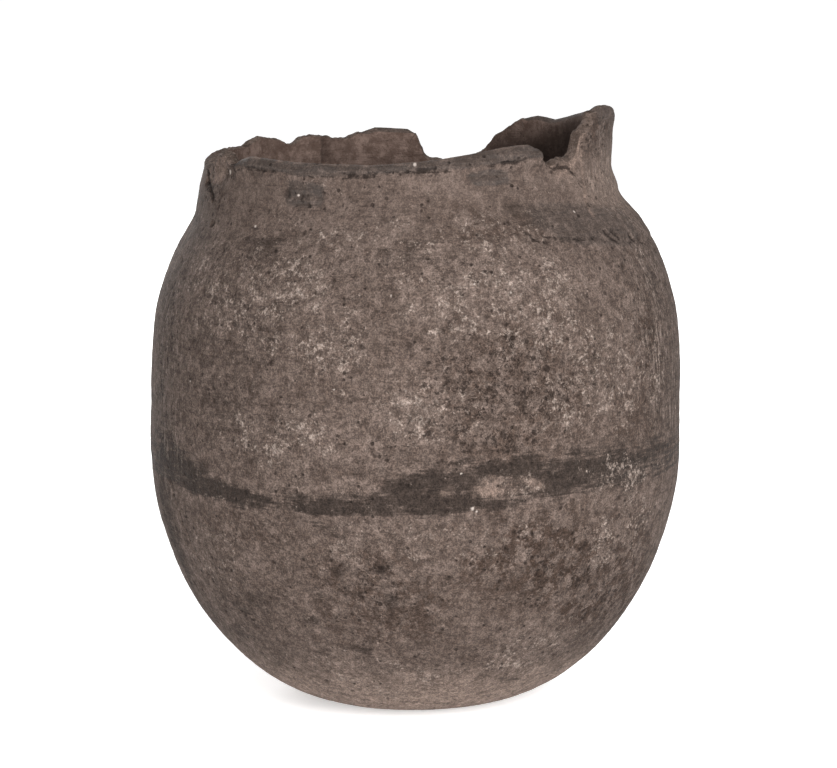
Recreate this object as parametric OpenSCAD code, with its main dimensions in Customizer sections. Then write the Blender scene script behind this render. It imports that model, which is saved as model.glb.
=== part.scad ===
// Hand-built clay jar with a round belly, a short neck and a broken mouth.
// The wall is a disc with rings of clay luted on one above the other. Each ring meets the
// next in a keyed, bevelled lap, and what is left of the mouth carries strips of folded lip.
// Millimetres. The origin is the centre of the foot, +Z is up, and -Y is the front.

/* [Body] */
// Diameter of the wall at its widest ring
belly_d = 229; // [190:1:270]
// Height of the widest ring above the table
belly_z = 113; // [100:1:124]
// Diameter of the flat that the jar stands on
foot_d = 66; // [50:1:84]
// Fullness of the bowl below the widest ring, where 2 is an ellipse
bowl_fullness = 1.9; // [1.75:0.05:2.3]
// Fullness of the shoulder above the widest ring
shoulder_fullness = 4; // [3.2:0.1:4.6]
// How softly the shoulder turns up into the neck
shoulder_turn = 1.5; // [1.3:0.05:1.8]
// How far the hand-turned wall is out of round
out_of_round = 0.8; // [0:0.1:1.6]

/* [Neck and mouth] */
// Outer diameter of the neck's foot, where the shoulder ends
neck_foot_d = 179; // [170:1:188]
// Height of the neck's foot
neck_foot_z = 219; // [215:1:223]
// Outer diameter of the throat, the narrowest ring
throat_d = 174.5; // [164:0.5:180]
// Height of the throat
throat_z = 230; // [228:1:236]
// Level that the heights of the mouth's edge are counted from
rim_z = 240; // [238:1:246]
// How far the tallest sherd of the mouth stands over that level
sherd_h = 15.5; // [10:0.5:16.5]
// How far the wall flares out from the throat to the top of that sherd
mouth_flare = 1.2; // [0:0.1:4]
// How far the neck stands off the body's axis, towards the left
neck_lean = 3.5; // [0:0.1:6]

/* [Wall] */
// Thickness of the wall
wall_t = 6.5; // [5:0.1:9]
// Thickness of the floor
floor_t = 9; // [7:0.1:12]
// Thickness of the wall at the mouth
mouth_t = 5.5; // [4.5:0.1:7]

/* [Coil joints] */
// Diameter of the floor disc where the first coil laps it
disc_d = 104; // [94:1:112]
// Height of the joint between the first and the second coil of the bowl
bowl_joint_1_z = 33; // [28:1:38]
// Height of the joint between the second and the third coil of the bowl
bowl_joint_2_z = 67; // [60:1:74]
// Height of the joint where the bowl ends, under the widest ring
belly_joint_z = 104; // [98:1:110]
// How far that joint rises above its height at the right, and falls below it at the left
belly_joint_tilt = 4; // [0:0.5:6]
// Height of the joint at the foot of the neck
neck_joint_z = 205; // [201:1:208]
// How far that joint rises above its height at the front left, and falls below it behind
neck_joint_tilt = 5; // [0:0.5:6]
// Height of the joint under the mouth's coil
mouth_joint_z = 221; // [219:1:222]
// How far each coil laps down behind the one below it
lap = 7; // [4:0.5:9]
// How far the middle of a joint is pressed below the straight line of its bevel
key_depth = 1.2; // [0:0.1:2]
// How far the joints wander from the level
joint_wander = 1.2; // [0:0.1:2]

/* [Lip strips] */
// Height of a folded lip strip
lip_h = 7; // [5:0.5:9]
// How far the fold stands proud of the wall
lip_proud = 1.4; // [0.8:0.1:3]
// How far the fold is pressed down over the outside of the wall
lip_lap = 3; // [2:0.5:4]
// Depth of the scar where a piece of the lip has flaked away
scar_depth = 1.5; // [0:0.1:2.5]

/* [Hidden] */
belly_r = belly_d / 2;
foot_r = foot_d / 2;
neck_foot_r = neck_foot_d / 2;
throat_r = throat_d / 2;
disc_r = disc_d / 2;

clay = [0.43, 0.37, 0.34];
dark_clay = [0.34, 0.29, 0.27];
pale_clay = [0.50, 0.44, 0.40];

steps = 72;             // angle steps round a coil
fine_steps = 2 * steps; // angle steps round the broken mouth
fine_step = 360 / fine_steps;
true_below = 12;        // the wall is truly round up to this height

// What is left of the mouth, seen from above and anticlockwise from the right-hand side:
// [angle, height over rim_z as a share of sherd_h]. Steep runs are fractures.
RIGHT_EDGE = [[-3, 0.9], [10, 0.87], [23, 0.65], [35, 0.42], [40, 0.32], [47, 0.42], [52, 0.32], [62, -0.23]];
BACK_GAP = [[65, -0.58], [70, -0.81], [77, -0.9], [84, -0.9]];
BACK_SHERD = [[86, -0.58], [88, -0.06], [100, 0], [105, -0.16]];
LEFT_EDGE = [
    [110, -0.35], [122, -0.19], [126, -0.26], [129, -0.48], [134, -0.29], [143, -0.16], [150, -0.42],
    [165, -0.42], [185, -0.58], [195, -0.68]
];
LEFT_CORNER = [[201, -0.45], [206, -0.23], [210, -0.19], [214, -0.58]];
FRONT_EDGE = [[217, -0.39], [222, -0.26], [237, -0.35], [260, -0.39], [275, -0.29], [297, 0.03], [306, 0.1]];
NOTCH = [[309, -0.1], [311, -0.45], [319, -0.32], [322, -0.06], [329, 0.32]];
PEAK = [[333, 0.9], [338, 1], [346, 0.97], [357, 0.9]];
MOUTH = concat(RIGHT_EDGE, BACK_GAP, BACK_SHERD, LEFT_EDGE, LEFT_CORNER, FRONT_EDGE, NOTCH, PEAK);

// The angles where each folded strip starts and ends, and those of the flaked stretch
FRONT_LIP = [217.5, 307.5];
BACK_LIP = [90, 102.5];
RIGHT_LIP = [335, 410];
SCAR = [307.5, 330];

// ---------- the wall's outline, out from the axis along the foot and up the outside ----------

function clamp(t) = max(0, min(1, t));
function ease(t) = let (u = clamp(t)) u * u * (3 - 2 * u);
function blend(a, b, t) = a + (b - a) * t;

function bowl_r(z) =
    foot_r + (belly_r - foot_r)
        * pow(clamp(1 - pow((belly_z - z) / belly_z, bowl_fullness)), 1 / bowl_fullness);
function shoulder_r(z) =
    let (u = (z - belly_z) / (neck_foot_z - belly_z))
    neck_foot_r + (belly_r - neck_foot_r) * pow(clamp(1 - pow(u, shoulder_fullness)), shoulder_turn);
function neck_r(z) = blend(neck_foot_r, throat_r, ease((z - neck_foot_z) / (throat_z - neck_foot_z)));
function mouth_r(z) = throat_r + mouth_flare * ease((z - throat_z) / (rim_z + sherd_h - throat_z));
function outside_r(z) =
    z <= belly_z ? bowl_r(z) : z <= neck_foot_z ? shoulder_r(z) : z <= throat_z ? neck_r(z) : mouth_r(z);

outline_top = rim_z + 2 * sherd_h;
bowl_samples = 60;
upper_samples = 100;
OUTLINE = concat(
    [[0, 0], [foot_r, 0]],
    [for (i = [1:bowl_samples]) let (z = belly_z * pow(i / bowl_samples, 2)) [outside_r(z), z]],
    [for (i = [1:upper_samples]) let (z = blend(belly_z, outline_top, i / upper_samples))
        [outside_r(z), z]]
);
last = len(OUTLINE) - 1;

// The running length of the outline at each of its points, and tables to look it up
LENGTHS = [for (i = 0, s = 0; i <= last;
                s = s + (i < last ? norm(OUTLINE[i + 1] - OUTLINE[i]) : 0), i = i + 1) s];
R_AT_S = [for (i = [0:last]) [LENGTHS[i], OUTLINE[i][0]]];
Z_AT_S = [for (i = [0:last]) [LENGTHS[i], OUTLINE[i][1]]];
S_AT_Z = [for (i = [1:last]) [OUTLINE[i][1], LENGTHS[i]]];
S_AT_R = [for (i = [0:bowl_samples]) [OUTLINE[i][0], LENGTHS[i]]];

function outline(s) = [lookup(s, R_AT_S), lookup(s, Z_AT_S)];
function inward(s) =
    s < foot_r / 2 ? [0, 1]
    : let (d = outline(s + 1.5) - outline(s - 1.5), u = d / norm(d)) [-u[1], u[0]];

bowl_thins_over = 30; // the floor's thickness becomes the wall's over this height
neck_thins_over = 20; // and the wall's becomes the mouth's over the last of the neck
function thickness(s) =
    let (z = lookup(s, Z_AT_S))
    z < belly_z ? blend(floor_t, wall_t, ease(z / bowl_thins_over))
    : blend(wall_t, mouth_t, ease((z - throat_z) / neck_thins_over + 1));

// ---------- one point of the clay ----------

// The wall is a little oval, its centre wanders from one side to the other as it rises,
// and the neck leans off it.
function out_of_true(a, z) =
    out_of_round * ease((z - true_below) / 40)
        * (0.7 * cos(2 * a + 0.9 * z)
            + sin(1.2 * (z - belly_z)) * (0.5 * cos(a - 20) + 0.4 * cos(3 * a + 40)));
function lean(z) = -neck_lean * ease((z - neck_joint_z) / (neck_foot_z - neck_joint_z));

// a is the angle, s the length up the outline, and depth is counted inward from the outer face
function clay_point(a, s, depth) =
    let (p = outline(s) + depth * inward(s), r = p[0] + out_of_true(a, p[1]))
    [lean(p[1]) + r * cos(a), r * sin(a), p[1]];
function wall_point(a, s, share) = clay_point(a, s, share * thickness(s));

// ---------- the joints, counted from the floor up ----------

upper_coils = 4;
belly_joint = 3;
neck_joint = belly_joint + upper_coils;
mouth_joint = neck_joint + 1;
JOINT_S = concat(
    [lookup(disc_r, S_AT_R)],
    [for (z = [bowl_joint_1_z, bowl_joint_2_z, belly_joint_z]) lookup(z, S_AT_Z)],
    [for (i = [1:upper_coils])
        lookup(blend(belly_joint_z, neck_joint_z, i / upper_coils), S_AT_Z)],
    [lookup(mouth_joint_z, S_AT_Z)]
);

belly_joint_high_side = 20;
neck_joint_high_side = 235;
function tilt(a, j) =
    let (t = clamp((j - belly_joint) / upper_coils))
    (1 - t) * j / (belly_joint + t * upper_coils) * belly_joint_tilt * cos(a - belly_joint_high_side)
    + t * neck_joint_tilt * cos(a - neck_joint_high_side);
function wander(a, j) = joint_wander * (cos(a + 95 * j) + 0.4 * cos(3 * a - 60 * j));
function joint_outer(a, j) =
    JOINT_S[j] + (j == 0 || j == mouth_joint ? 0 : tilt(a, j) + wander(a, j));
function joint_inner(a, j) = joint_outer(a, j) - lap;
function joint_middle(a, j) = joint_outer(a, j) - lap / 2 - key_depth;

// ---------- solids from columns of points ----------

// Two triangles between neighbouring columns. Where flip is set they are split the other
// way, so that both sides of a joint are cut alike.
function patch(p00, p01, p11, p10, flip) =
    flip ? [[p00, p01, p10], [p01, p11, p10]] : [[p00, p01, p11], [p00, p11, p10]];

// A closed ring from its sections, which all have the same number of points
module ring_of(sections, flip_from) {
    n = len(sections);
    m = len(sections[0]);
    points = [for (section = sections) each section];
    faces = [for (i = [0:n - 1], j = [0:m - 1])
        let (i2 = (i + 1) % n, j2 = (j + 1) % m)
        each patch(i * m + j, i * m + j2, i2 * m + j2, i2 * m + j, j >= flip_from)];
    polyhedron(points, faces, convexity = 10);
}

// An open run of sections, closed by a fan at each end
module strip_of(sections) {
    n = len(sections);
    m = len(sections[0]);
    points = [for (section = sections) each section];
    sides = [for (i = [0:n - 2], j = [0:m - 1])
        let (j2 = (j + 1) % m)
        each patch(i * m + j, i * m + j2, (i + 1) * m + j2, (i + 1) * m + j, false)];
    first_end = [for (j = [1:m - 2]) [0, j + 1, j]];
    last_end = [for (j = [1:m - 2]) [(n - 1) * m, (n - 1) * m + j, (n - 1) * m + j + 1]];
    polyhedron(points, concat(sides, first_end, last_end), convexity = 10);
}

// The section of a coil: up the outside, in along the joint above, down the inside, and
// out again along the joint below.
function coil_section(a, j, rows) = concat(
    [for (i = [0:rows])
        wall_point(a, blend(joint_outer(a, j), joint_outer(a, j + 1), i / rows), 0)],
    [wall_point(a, joint_middle(a, j + 1), 0.5)],
    [for (i = [0:rows])
        wall_point(a, blend(joint_inner(a, j + 1), joint_inner(a, j), i / rows), 1)],
    [wall_point(a, joint_middle(a, j), 0.5)]
);

module wall_coil(j, rows) {
    ring_of([for (i = [0:steps - 1]) coil_section(i * 360 / steps, j, rows)], 2 * rows + 2);
}

// ---------- the floor ----------

module floor_disc() {
    rows = 2;
    sections = [for (i = [0:steps - 1]) let (a = i * 360 / steps) concat(
        [for (k = [0:rows]) wall_point(a, blend(foot_r, joint_outer(a, 0), k / rows), 0)],
        [wall_point(a, joint_middle(a, 0), 0.5), wall_point(a, joint_inner(a, 0), 1)]
    )];
    m = len(sections[0]);
    under = steps * m;
    over = under + 1;
    points = concat([for (section = sections) each section], [[0, 0, 0], [0, 0, floor_t]]);
    faces = [for (i = [0:steps - 1]) let (a = i * m, b = ((i + 1) % steps) * m) each concat(
        [for (j = [0:m - 2]) each patch(a + j, a + j + 1, b + j + 1, b + j, false)],
        [[under, a, b], [over, b + m - 1, a + m - 1]]
    )];
    color(pale_clay) polyhedron(points, faces, convexity = 4);
}

// ---------- the broken mouth ----------

function in_range(a, range) =
    let (turned = a < range[0] ? a + 360 : a) turned <= range[1];
function has_lip(a) = in_range(a, FRONT_LIP) || in_range(a, BACK_LIP) || in_range(a, RIGHT_LIP);
function edge_z(a) = rim_z + sherd_h * lookup(a > 357 ? a - 360 : a, MOUTH);
function edge_s(a) = lookup(edge_z(a), S_AT_Z);
function coil_top_s(a) = edge_s(a) - (has_lip(a) ? lip_h : 0);
function scar(a) =
    in_range(a, SCAR) ? scar_depth * sin(180 * (a - SCAR[0]) / (SCAR[1] - SCAR[0])) : 0;

// The joint under the mouth has half as many steps as the mouth, so every other point of
// the mouth's coil lies on the middle of a chord.
function seat_point(i, down, share) =
    let (a = i * fine_step)
    i % 2 == 0 ? wall_point(a, joint_outer(a, mouth_joint) - down, share)
    : (seat_point(i - 1, down, share) + seat_point(i + 1, down, share)) / 2;

break_height = 0.8; // how far a fracture's middle stands over its outer edge
function mouth_section(i) =
    let (a = i * fine_step,
         low = joint_inner(a, mouth_joint),
         top = coil_top_s(a),
         t = thickness(top),
         crown = has_lip(a) ? 0 : break_height)
    [
        seat_point(i, 0, 0),
        clay_point(a, top - lip_lap, scar(a) / 2),
        clay_point(a, top - crown, scar(a)),
        clay_point(a, top + crown, t / 2),
        clay_point(a, top, t),
        clay_point(a, (low + top) / 2, t),
        seat_point(i, lap, 1),
        seat_point(i, lap / 2 + key_depth, 0.5)
    ];

module mouth_coil() {
    color(clay) ring_of([for (i = [0:fine_steps - 1]) mouth_section(i)], 6);
}

// A folded strip. Each point is [height over the coil's edge, distance out from the wall],
// and the last three lie on the coil.
function lip_section(a, fullness) =
    let (top = coil_top_s(a), t = thickness(top), h = lip_h * fullness, out = lip_proud * fullness)
    [for (p = [
        [-lip_lap, 0], [0.1 * h, 0.9 * out], [0.5 * h, out], [0.9 * h, 0.4 * out],
        [h, -0.3 * t], [0.9 * h, -0.75 * t], [0.45 * h, -t], [0, -t], [0, -t / 2], [0, 0]
    ]) clay_point(a, top + p[0], -p[1])];

// The ends of a strip are rounded off over their last two sections.
END_FULLNESS = [0.55, 0.85, 1];
module lip_strip(range) {
    n = round((range[1] - range[0]) / fine_step);
    color(dark_clay) strip_of([for (i = [0:n])
        lip_section((range[0] + i * fine_step) % 360, END_FULLNESS[min(i, n - i, 2)])]);
}

module lip_front() { lip_strip(FRONT_LIP); }
module lip_back() { lip_strip(BACK_LIP); }
module lip_right() { lip_strip(RIGHT_LIP); }

// ---------- the coils ----------

module bowl_coil_lower() { color(pale_clay) wall_coil(0, 3); }
module bowl_coil_middle() { color(clay) wall_coil(1, 3); }
module bowl_coil_upper() { color(clay) wall_coil(2, 2); }
module belly_coil() { color(dark_clay) wall_coil(belly_joint, 2); }
module shoulder_coil_lower() { color(clay) wall_coil(belly_joint + 1, 2); }
module shoulder_coil_middle() { color(clay) wall_coil(belly_joint + 2, 2); }
module shoulder_coil_upper() { color(clay) wall_coil(belly_joint + 3, 2); }
module neck_coil() { color(clay) wall_coil(neck_joint, 2); }

floor_disc();
bowl_coil_lower();
bowl_coil_middle();
bowl_coil_upper();
belly_coil();
shoulder_coil_lower();
shoulder_coil_middle();
shoulder_coil_upper();
neck_coil();
mouth_coil();
lip_front();
lip_back();
lip_right();
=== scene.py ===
# %% [markdown]
# # A hand-built clay jar with a broken mouth
#
# The real jar is built from a pressed disc and rings of clay, smoothed by hand, fired in smoke,
# and then worn grey-brown in the ground. The CAD frame has every ring with its keyed joints, but
# in plain facets. It could be dressed with a picture; here each ring is made again as a dense
# mesh from the same named sizes, so that dents, pits and fractures are real shape.

# %% The CAD frame
import math

import bpy
import numpy as np
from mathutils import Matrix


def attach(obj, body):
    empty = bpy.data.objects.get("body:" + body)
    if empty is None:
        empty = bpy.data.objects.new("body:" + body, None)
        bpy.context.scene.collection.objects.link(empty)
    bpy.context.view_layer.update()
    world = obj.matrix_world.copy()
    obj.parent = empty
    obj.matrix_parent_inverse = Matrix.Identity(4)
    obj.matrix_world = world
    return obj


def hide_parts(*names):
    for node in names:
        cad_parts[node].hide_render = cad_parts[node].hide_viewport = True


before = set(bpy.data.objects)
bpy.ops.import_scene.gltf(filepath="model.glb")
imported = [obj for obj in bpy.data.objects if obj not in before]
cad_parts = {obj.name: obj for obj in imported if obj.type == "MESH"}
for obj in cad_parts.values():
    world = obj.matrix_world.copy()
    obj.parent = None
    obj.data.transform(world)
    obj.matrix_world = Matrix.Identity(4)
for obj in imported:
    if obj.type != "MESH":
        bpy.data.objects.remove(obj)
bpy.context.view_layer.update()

# %% [markdown]
# ## The jar's sizes
#
# These are the driving sizes of the CAD source, in millimetres. A modeller could trace the CAD
# mesh instead, but its facets would come along. The same numbers give a smooth wall, and a test
# further down says how far the two lie apart.

# %% Sizes of the body, the mouth and the joints
MM = 0.001
BELLY_R, BELLY_Z, FOOT_R = 114.5, 113.0, 33.0
BOWL_FULLNESS, SHOULDER_FULLNESS, SHOULDER_TURN = 1.9, 4.0, 1.5
OUT_OF_ROUND, TRUE_BELOW = 0.8, 12.0
NECK_FOOT_R, NECK_FOOT_Z, THROAT_R, THROAT_Z = 89.5, 219.0, 87.25, 230.0
RIM_Z, SHERD_H, MOUTH_FLARE, NECK_LEAN = 240.0, 15.5, 1.2, 3.5
WALL_T, FLOOR_T, MOUTH_T = 6.5, 9.0, 5.5
DISC_R, LAP, KEY_DEPTH, JOINT_WANDER = 52.0, 7.0, 1.2, 1.2
BELLY_JOINT_TILT, NECK_JOINT_TILT, NECK_JOINT_Z = 4.0, 5.0, 205.0
JOINT_HEIGHTS = [33, 67, 104, 129.25, 154.5, 179.75, 205, 221]
LIP_H, LIP_PROUD, LIP_LAP, SCAR_DEPTH, CROWN = 7.0, 1.4, 3.0, 1.5, 0.8

# What is left of the mouth: [angle, height over RIM_Z as a share of SHERD_H]
MOUTH = np.array([
    [-3, .9], [10, .87], [23, .65], [35, .42], [40, .32], [47, .42], [52, .32], [62, -.23],
    [65, -.58], [70, -.81], [77, -.9], [84, -.9],
    [86, -.58], [88, -.06], [100, 0], [105, -.16],
    [110, -.35], [122, -.19], [126, -.26], [129, -.48], [134, -.29], [143, -.16], [150, -.42],
    [165, -.42], [185, -.58], [195, -.68],
    [201, -.45], [206, -.23], [210, -.19], [214, -.58],
    [217, -.39], [222, -.26], [237, -.35], [260, -.39], [275, -.29], [297, .03], [306, .1],
    [309, -.1], [311, -.45], [319, -.32], [322, -.06], [329, .32],
    [333, .9], [338, 1], [346, .97], [357, .9],
])
LIPS = {"lip_front": (217.5, 307.5), "lip_back": (90.0, 102.5), "lip_right": (335.0, 410.0)}
SCAR = (307.5, 330.0)
CAD_STEP = 2.5   # degrees between the CAD's sections of the mouth

# The notch is sharper than the CAD's sections can say: [angle, mm above the CAD's edge]
NOTCH = np.array([
    [316, 0], [319, -.6], [321, -2.3], [323, -3.9], [324, -2.2], [325, 1.9], [326, 3.1], [329, 1.7],
    [331, 0], [333.5, 0],
])
print("Belly %.0f mm and foot %.0f mm wide" % (2 * BELLY_R, 2 * FOOT_R))

# %% [markdown]
# ## The wall as a formula
#
# Every point of clay has three numbers: the angle round the jar, the running length up the
# outline, and the depth in from the outer face. A wall could be lathed and then bent, but with
# this one function the coils, their joints and the lips all agree where they touch.

# %% Small helpers for curves and angles
def ease(t):
    """0 to 1 with a soft start and end."""
    u = np.clip(t, 0, 1)
    return u * u * (3 - 2 * u)

def blend(a, b, t):
    return a + (b - a) * t

def cosd(a):
    return np.cos(np.radians(a))

def sind(a):
    return np.sin(np.radians(a))

# %% The outline, from the foot up to the mouth
def outside_r(z):
    bowl = np.clip(1 - np.clip((BELLY_Z - z) / BELLY_Z, 0, 1) ** BOWL_FULLNESS, 0, 1)
    bowl = FOOT_R + (BELLY_R - FOOT_R) * bowl ** (1 / BOWL_FULLNESS)
    up = np.clip((z - BELLY_Z) / (NECK_FOOT_Z - BELLY_Z), 0, 1)
    shoulder = NECK_FOOT_R + (BELLY_R - NECK_FOOT_R) * (1 - up ** SHOULDER_FULLNESS) ** SHOULDER_TURN
    neck = blend(NECK_FOOT_R, THROAT_R, ease((z - NECK_FOOT_Z) / (THROAT_Z - NECK_FOOT_Z)))
    mouth = THROAT_R + MOUTH_FLARE * ease((z - THROAT_Z) / (RIM_Z + SHERD_H - THROAT_Z))
    return np.where(z <= BELLY_Z, bowl,
                    np.where(z <= NECK_FOOT_Z, shoulder, np.where(z <= THROAT_Z, neck, mouth)))

bowl_z = BELLY_Z * np.linspace(0, 1, 400)[1:] ** 2
upper_z = np.linspace(BELLY_Z, RIM_Z + 2 * SHERD_H, 600)[1:]
OUT_Z = np.concatenate([[0, 0], bowl_z, upper_z])
OUT_R = np.concatenate([[0, FOOT_R], outside_r(OUT_Z[2:])])
LENGTH = np.concatenate([[0], np.cumsum(np.hypot(np.diff(OUT_R), np.diff(OUT_Z)))])

def outline(s):
    return np.interp(s, LENGTH, OUT_R), np.interp(s, LENGTH, OUT_Z)

def s_at_z(z):
    return np.interp(z, OUT_Z[1:], LENGTH[1:])

def inward(s):
    r1, z1 = outline(s + 1.5)
    r0, z0 = outline(s - 1.5)
    long = np.maximum(np.hypot(r1 - r0, z1 - z0), 1e-6)
    flat = s < FOOT_R / 2
    return np.where(flat, 0, -(z1 - z0) / long), np.where(flat, 1, (r1 - r0) / long)

# %% Thickness, bends, and one point of the clay
def thickness(s):
    z = outline(s)[1]
    return np.where(z < BELLY_Z, blend(FLOOR_T, WALL_T, ease(z / 30)),
                    blend(WALL_T, MOUTH_T, ease((z - THROAT_Z) / 20 + 1)))

def out_of_true(a, z):
    """How far the hand-built wall bulges from a round one, in mm."""
    return OUT_OF_ROUND * ease((z - TRUE_BELOW) / 40) * (
        0.7 * cosd(2 * a + 0.9 * z)
        + sind(1.2 * (z - BELLY_Z)) * (0.5 * cosd(a - 20) + 0.4 * cosd(3 * a + 40)))

def lean(z):
    return -NECK_LEAN * ease((z - NECK_JOINT_Z) / (NECK_FOOT_Z - NECK_JOINT_Z))

def clay_point(a, s, depth):
    """A point in mm from its angle, its running length and its depth in the wall."""
    r, z = outline(s)
    ir, iz = inward(s)
    z = z + depth * iz
    r = r + depth * ir + out_of_true(a, z)
    return np.stack(np.broadcast_arrays(lean(z) + r * cosd(a), r * sind(a), z), -1)

print("Outline from the axis to the top of the tallest sherd: %.1f mm" % s_at_z(RIM_Z + SHERD_H))

# %% [markdown]
# ## Where one ring ends and the next begins
#
# A potter laps each coil over the inside of the one below and presses the joint home. The joint
# lines aren't level: the joint under the belly rises to one side, that at the neck to another.
# The mouth's edge is looked up in the table of the break.

# %% Joints, mouth edge and scar
JOINT_S = [np.interp(DISC_R, OUT_R[1:400], LENGTH[1:400])] + [s_at_z(z) for z in JOINT_HEIGHTS]
MOUTH_JOINT = 8

def joint_outer(a, j):
    if j in (0, MOUTH_JOINT):
        return JOINT_S[j] + 0 * a
    t = min(max((j - 3) / 4, 0), 1)
    tilt = ((1 - t) * j / (3 + 4 * t) * BELLY_JOINT_TILT * cosd(a - 20)
            + t * NECK_JOINT_TILT * cosd(a - 235))
    return JOINT_S[j] + tilt + JOINT_WANDER * (cosd(a + 95 * j) + 0.4 * cosd(3 * a - 60 * j))

cad_angles = np.arange(0, 360 + CAD_STEP / 2, CAD_STEP)

def edge_s(a):
    """Running length of the mouth's edge, straight between the CAD's sections."""
    turned = np.where(cad_angles > 357, cad_angles - 360, cad_angles)
    heights = RIM_Z + SHERD_H * np.interp(turned, MOUTH[:, 0], MOUTH[:, 1])
    notch = np.interp(a % 360, NOTCH[:, 0], NOTCH[:, 1])
    return np.interp(a % 360, cad_angles, s_at_z(heights)) + notch

def under_lip(a):
    """1 where a folded strip sits on the coil, running out over one CAD step at each end."""
    share = np.zeros_like(a)
    for start, end in LIPS.values():
        turned = start - CAD_STEP + (a - start + CAD_STEP) % 360
        share = np.maximum(share, np.clip(np.minimum(
            (turned - start) / CAD_STEP + 1, (end - turned) / CAD_STEP + 1), 0, 1))
    return share

def coil_top_s(a):
    return edge_s(a) - LIP_H * under_lip(a)

def scar(a):
    along = np.clip((a % 360 - SCAR[0]) / (SCAR[1] - SCAR[0]), 0, 1)
    return SCAR_DEPTH * np.sin(np.pi * along)

print("Joints at running lengths", [round(float(s)) for s in JOINT_S])

# %% [markdown]
# ## Seeded noise
#
# Clay needs irregularity at every scale. Blender's own noise could displace the mesh through
# modifiers, but a small gradient noise in numpy works on whole arrays at once, and the same
# function can shape the relief and soften the edges of stains, so that both agree.

# %% Gradient noise on a seeded lattice
dice = np.random.default_rng(1521)
LATTICE = 32
gradients = dice.normal(size=(LATTICE, LATTICE, LATTICE, 3)).astype(np.float32)
gradients /= np.linalg.norm(gradients, axis=-1, keepdims=True)

def noise(points, wave, seed=0):
    """Smooth noise of about -1 to 1. wave is its length in mm, or one for each axis."""
    p = (points / np.asarray(wave, np.float32) + np.float32(seed * 5.37 + 40)).astype(np.float32)
    cell = np.floor(p).astype(np.int32)
    f = p - cell
    w = f * f * f * (f * (f * 6 - 15) + 10)
    total = np.zeros(p.shape[:-1], np.float32)
    for corner in range(8):
        c = np.array([corner & 1, corner >> 1 & 1, corner >> 2], np.int32)
        g = gradients[tuple(np.moveaxis((cell + c) % LATTICE, -1, 0))]
        weight = np.prod(np.where(c == 1, w, 1 - w), axis=-1)
        total += weight * np.sum(g * (f - c), axis=-1)
    return 1.7 * total

def layered(points, rows):
    """A sum of noises, each given as its height in mm, its wave and its seed."""
    return sum(height * noise(points, wave, seed) for height, wave, seed in rows)

print("Noise lattice:", gradients.shape)

# %% [markdown]
# ## One grid for the whole wall
#
# If each ring had its own mesh and shading, a line would show at every joint. So the outer face
# is laid out once as one grid of rows and columns, and each ring takes its rows from it. Rows
# follow the joints, which wander, and two neighbours share the row between them.

# %% Rows and columns
COLS = 864
column = np.arange(COLS) * 360.0 / COLS
COILS = ["bowl_coil_lower", "bowl_coil_middle", "bowl_coil_upper", "belly_coil",
         "shoulder_coil_lower", "shoulder_coil_middle", "shoulder_coil_upper", "neck_coil",
         "mouth_coil"]
ROW_MM, INNER_ROW_MM, NECK_ROW_MM = 0.85, 2.2, 0.9   # height of a row outside, inside, and inside the neck
FOOT_ROWS, INNER_FOOT_ROWS, MOUTH_ROWS = 40, 24, 36
HUB_MM = 1.5   # the grids start this far from the axis

def rows_between(low, high, n):
    return low + (high - low) * (np.arange(n + 1) / n)[:, None]

def ring_rows(j, spacing, drop):
    """Running lengths of a ring's rows from the joint below to the joint above."""
    low, high = joint_outer(column, j) - drop, joint_outer(column, j + 1) - drop
    return rows_between(low, high, int(round(np.mean(high - low) / spacing)))

top_s = coil_top_s(column)
top_points = clay_point(column, top_s, 0)
chips = layered(top_points, [(0.45, 4.5, 3), (0.25, 1.7, 4)])
ROUGH_BREAKS = [(195, 217, 2.0), (307, 334, 1.5), (62, 89, 1.2)]   # from, to, how much rougher
roughness = np.ones(COLS)
for start, end, more in ROUGH_BREAKS:
    roughness = np.where((column > start) & (column < end), more, roughness)
broken = 1 - under_lip(column)
top_edge = top_s + broken * roughness * (chips - 0.35)
outer_parts = [rows_between(np.full(COLS, HUB_MM), joint_outer(column, 0), FOOT_ROWS)]
outer_parts += [ring_rows(j, ROW_MM, 0) for j in range(MOUTH_JOINT)]
outer_parts += [rows_between(joint_outer(column, MOUTH_JOINT), top_edge - CROWN * broken, MOUTH_ROWS)]
first_row = np.cumsum([0] + [len(part) - 1 for part in outer_parts])
outer_s = np.concatenate([part[:-1] for part in outer_parts] + [outer_parts[-1][-1:]])
print("Outer grid:", outer_s.shape, "rows of the coils start at", first_row.tolist())

# %% [markdown]
# ## Stains and patches as masks
#
# The jar shows a smoked band round the belly, grey patches of slip, pale bloom and dark clouds.
# They could be painted on a picture; here each is a mask, given by angle and height, whose edge
# is moved by noise. A skin is any grid of outer-face points, so that the wall and the lip strips
# take their marks from the same lines of code, and the meshes carry the masks to the materials.

# %% A skin and its tools
def turn(a, b):
    """Degrees from angle a to b, between -180 and 180."""
    return (b - a + 180) % 360 - 180

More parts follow.
